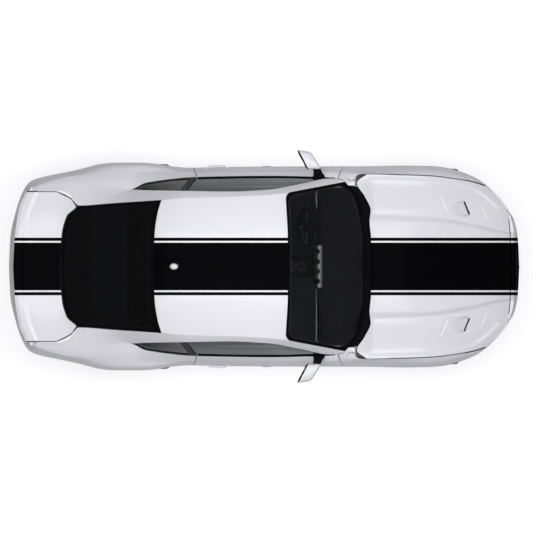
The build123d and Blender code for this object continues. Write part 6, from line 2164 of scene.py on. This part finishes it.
bench_base = [(-900, 500), (-960, 520), (-1060, 540), (-1140, 542)]
bench_back = [(-1160, 590), (-1185, 720), (-1222, 850), (-1240, 920)]
for hand, sign in (("left", 1), ("right", -1)):
    base = cushion_grid([(x, z) for x, z in reversed(bench_base)], 272, 86, rows=34, bolster=14,
                        channels=(0.3, 0.55, 0.8))
    back = cushion_grid([(x, z) for x, z in reversed(bench_back)], 270, 76, bolster=16, channels=(0.25, 0.5, 0.75))
    for label, parts in (("base", moved_y(base, sign * 290)), ("back", moved_y(back, sign * 290))):
        pad = finish_mesh(f"bench_{label}_{hand}", *parts, "body", "cabin_fabric", CLOTH, sharp=70)
        if label == "base":
            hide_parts("rear_seat")
frame_profile = [(-886, 356), (-870, 480), (-1120, 500), (-1215, 600), (-1246, 938), (-1281, 938), (-1281, 474),
                 (-1024, 474)]
finish_mesh("bench_frame", *swept_profile(rounded(frame_profile, 12),
                                          [mix(-578, 578, i / 12) for i in range(13)]), "body",
            "cabin_fabric", LEATHER)


# ---------------------------------------------------------------- floor, light, camera
def soft_light(name, place_at, size, power, colour=(1, 1, 1), aim=(0, 0, 0.6)):
    lamp = bpy.data.lights.new(name, "AREA")
    lamp.shape, lamp.size, lamp.size_y = "RECTANGLE", size[0], size[1]
    lamp.energy, lamp.color = power, colour
    made = bpy.data.objects.new(name, lamp)
    made.location = place_at
    made.rotation_euler = (Vector(aim) - Vector(place_at)).to_track_quat("-Z", "Y").to_euler()
    bpy.context.scene.collection.objects.link(made)


def pale_world():
    world = bpy.data.worlds.new("studio")
    bpy.context.scene.world = world
    world.use_nodes = True
    tree = world.node_tree
    tree.nodes.clear()
    path = node(tree, "ShaderNodeLightPath")
    seen = maths(tree, "MAXIMUM", path.outputs["Is Camera Ray"], path.outputs["Is Glossy Ray"])
    seen = maths(tree, "MAXIMUM", seen, path.outputs["Is Transmission Ray"])
    coordinates = node(tree, "ShaderNodeTexCoord")
    parts = node(tree, "ShaderNodeSeparateXYZ")
    tree.links.new(coordinates.outputs["Generated"], parts.inputs[0])
    height = clamp(tree, maths(tree, "MULTIPLY_ADD", parts.outputs[2], 1.1, -0.05))
    sky = blend_colour(tree, height, HORIZON, OVERHEAD)
    plain, white = node(tree, "ShaderNodeBackground"), node(tree, "ShaderNodeBackground")
    tree.links.new(sky, plain.inputs[0])
    plain.inputs[1].default_value = SKY_STRENGTH
    white.inputs[0].default_value, white.inputs[1].default_value = (1, 1, 1, 1), 1.0
    join, out = node(tree, "ShaderNodeMixShader"), node(tree, "ShaderNodeOutputWorld")
    tree.links.new(seen, join.inputs[0])
    tree.links.new(plain.outputs[0], join.inputs[1])
    tree.links.new(white.outputs[0], join.inputs[2])
    tree.links.new(join.outputs[0], out.inputs[0])


def floor():
    """A wide pale floor that shows white and keeps the car's soft shadow."""
    bpy.ops.mesh.primitive_plane_add(size=60, location=(0, 0, 0))
    plane = bpy.context.object
    plane.name = "floor"
    m = bpy.data.materials.new("pale_floor")
    m.use_nodes = True
    tree = m.node_tree
    tree.nodes.clear()
    path = node(tree, "ShaderNodeLightPath")
    seen = maths(tree, "MAXIMUM", path.outputs["Is Camera Ray"], path.outputs["Is Glossy Ray"])
    seen = maths(tree, "MAXIMUM", seen, path.outputs["Is Transmission Ray"])
    grey, shine = node(tree, "ShaderNodeBsdfDiffuse"), node(tree, "ShaderNodeEmission")
    grey.inputs[0].default_value = (*FLOOR_GREY, 1)
    shine.inputs[0].default_value = (1, 1, 1, 1)
    tree.links.new(maths(tree, "MULTIPLY", seen, FLOOR_GLOW), shine.inputs[1])
    both, out = node(tree, "ShaderNodeAddShader"), node(tree, "ShaderNodeOutputMaterial")
    tree.links.new(grey.outputs[0], both.inputs[0])
    tree.links.new(shine.outputs[0], both.inputs[1])
    tree.links.new(both.outputs[0], out.inputs[0])
    plane.data.materials.append(m)


HORIZON, OVERHEAD = (0.30, 0.30, 0.36), (0.90, 0.90, 0.93)
SKY_STRENGTH = 0.42
FLOOR_GREY = (0.40, 0.40, 0.43)
FLOOR_GLOW = 0.80
pale_world()
floor()
soft_light("top_light", (0.0, 0.0, 7.0), (6.6, 1.9), 235)
soft_light("left_light", (1.5, 6.5, 4.0), (6.0, 3.0), 46)
soft_light("right_light", (-1.0, -6.5, 4.0), (6.0, 3.0), 42, (0.97, 0.97, 1.0))
soft_light("front_light", (8.0, 0.5, 3.5), (4.0, 3.0), 22)

VIEW_WIDTH = 5.002         # metres across the picture
VIEW_CENTRE_X = 0.0225
lens = bpy.data.cameras.new("overhead")
lens.type, lens.ortho_scale = "ORTHO", VIEW_WIDTH
lens.clip_end = 100
camera = bpy.data.objects.new("overhead", lens)
camera.location, camera.rotation_euler = (VIEW_CENTRE_X, 0, 10), (0, 0, 0)
bpy.context.scene.collection.objects.link(camera)
bpy.context.scene.camera = camera
bpy.context.scene.view_settings.view_transform = "Standard"
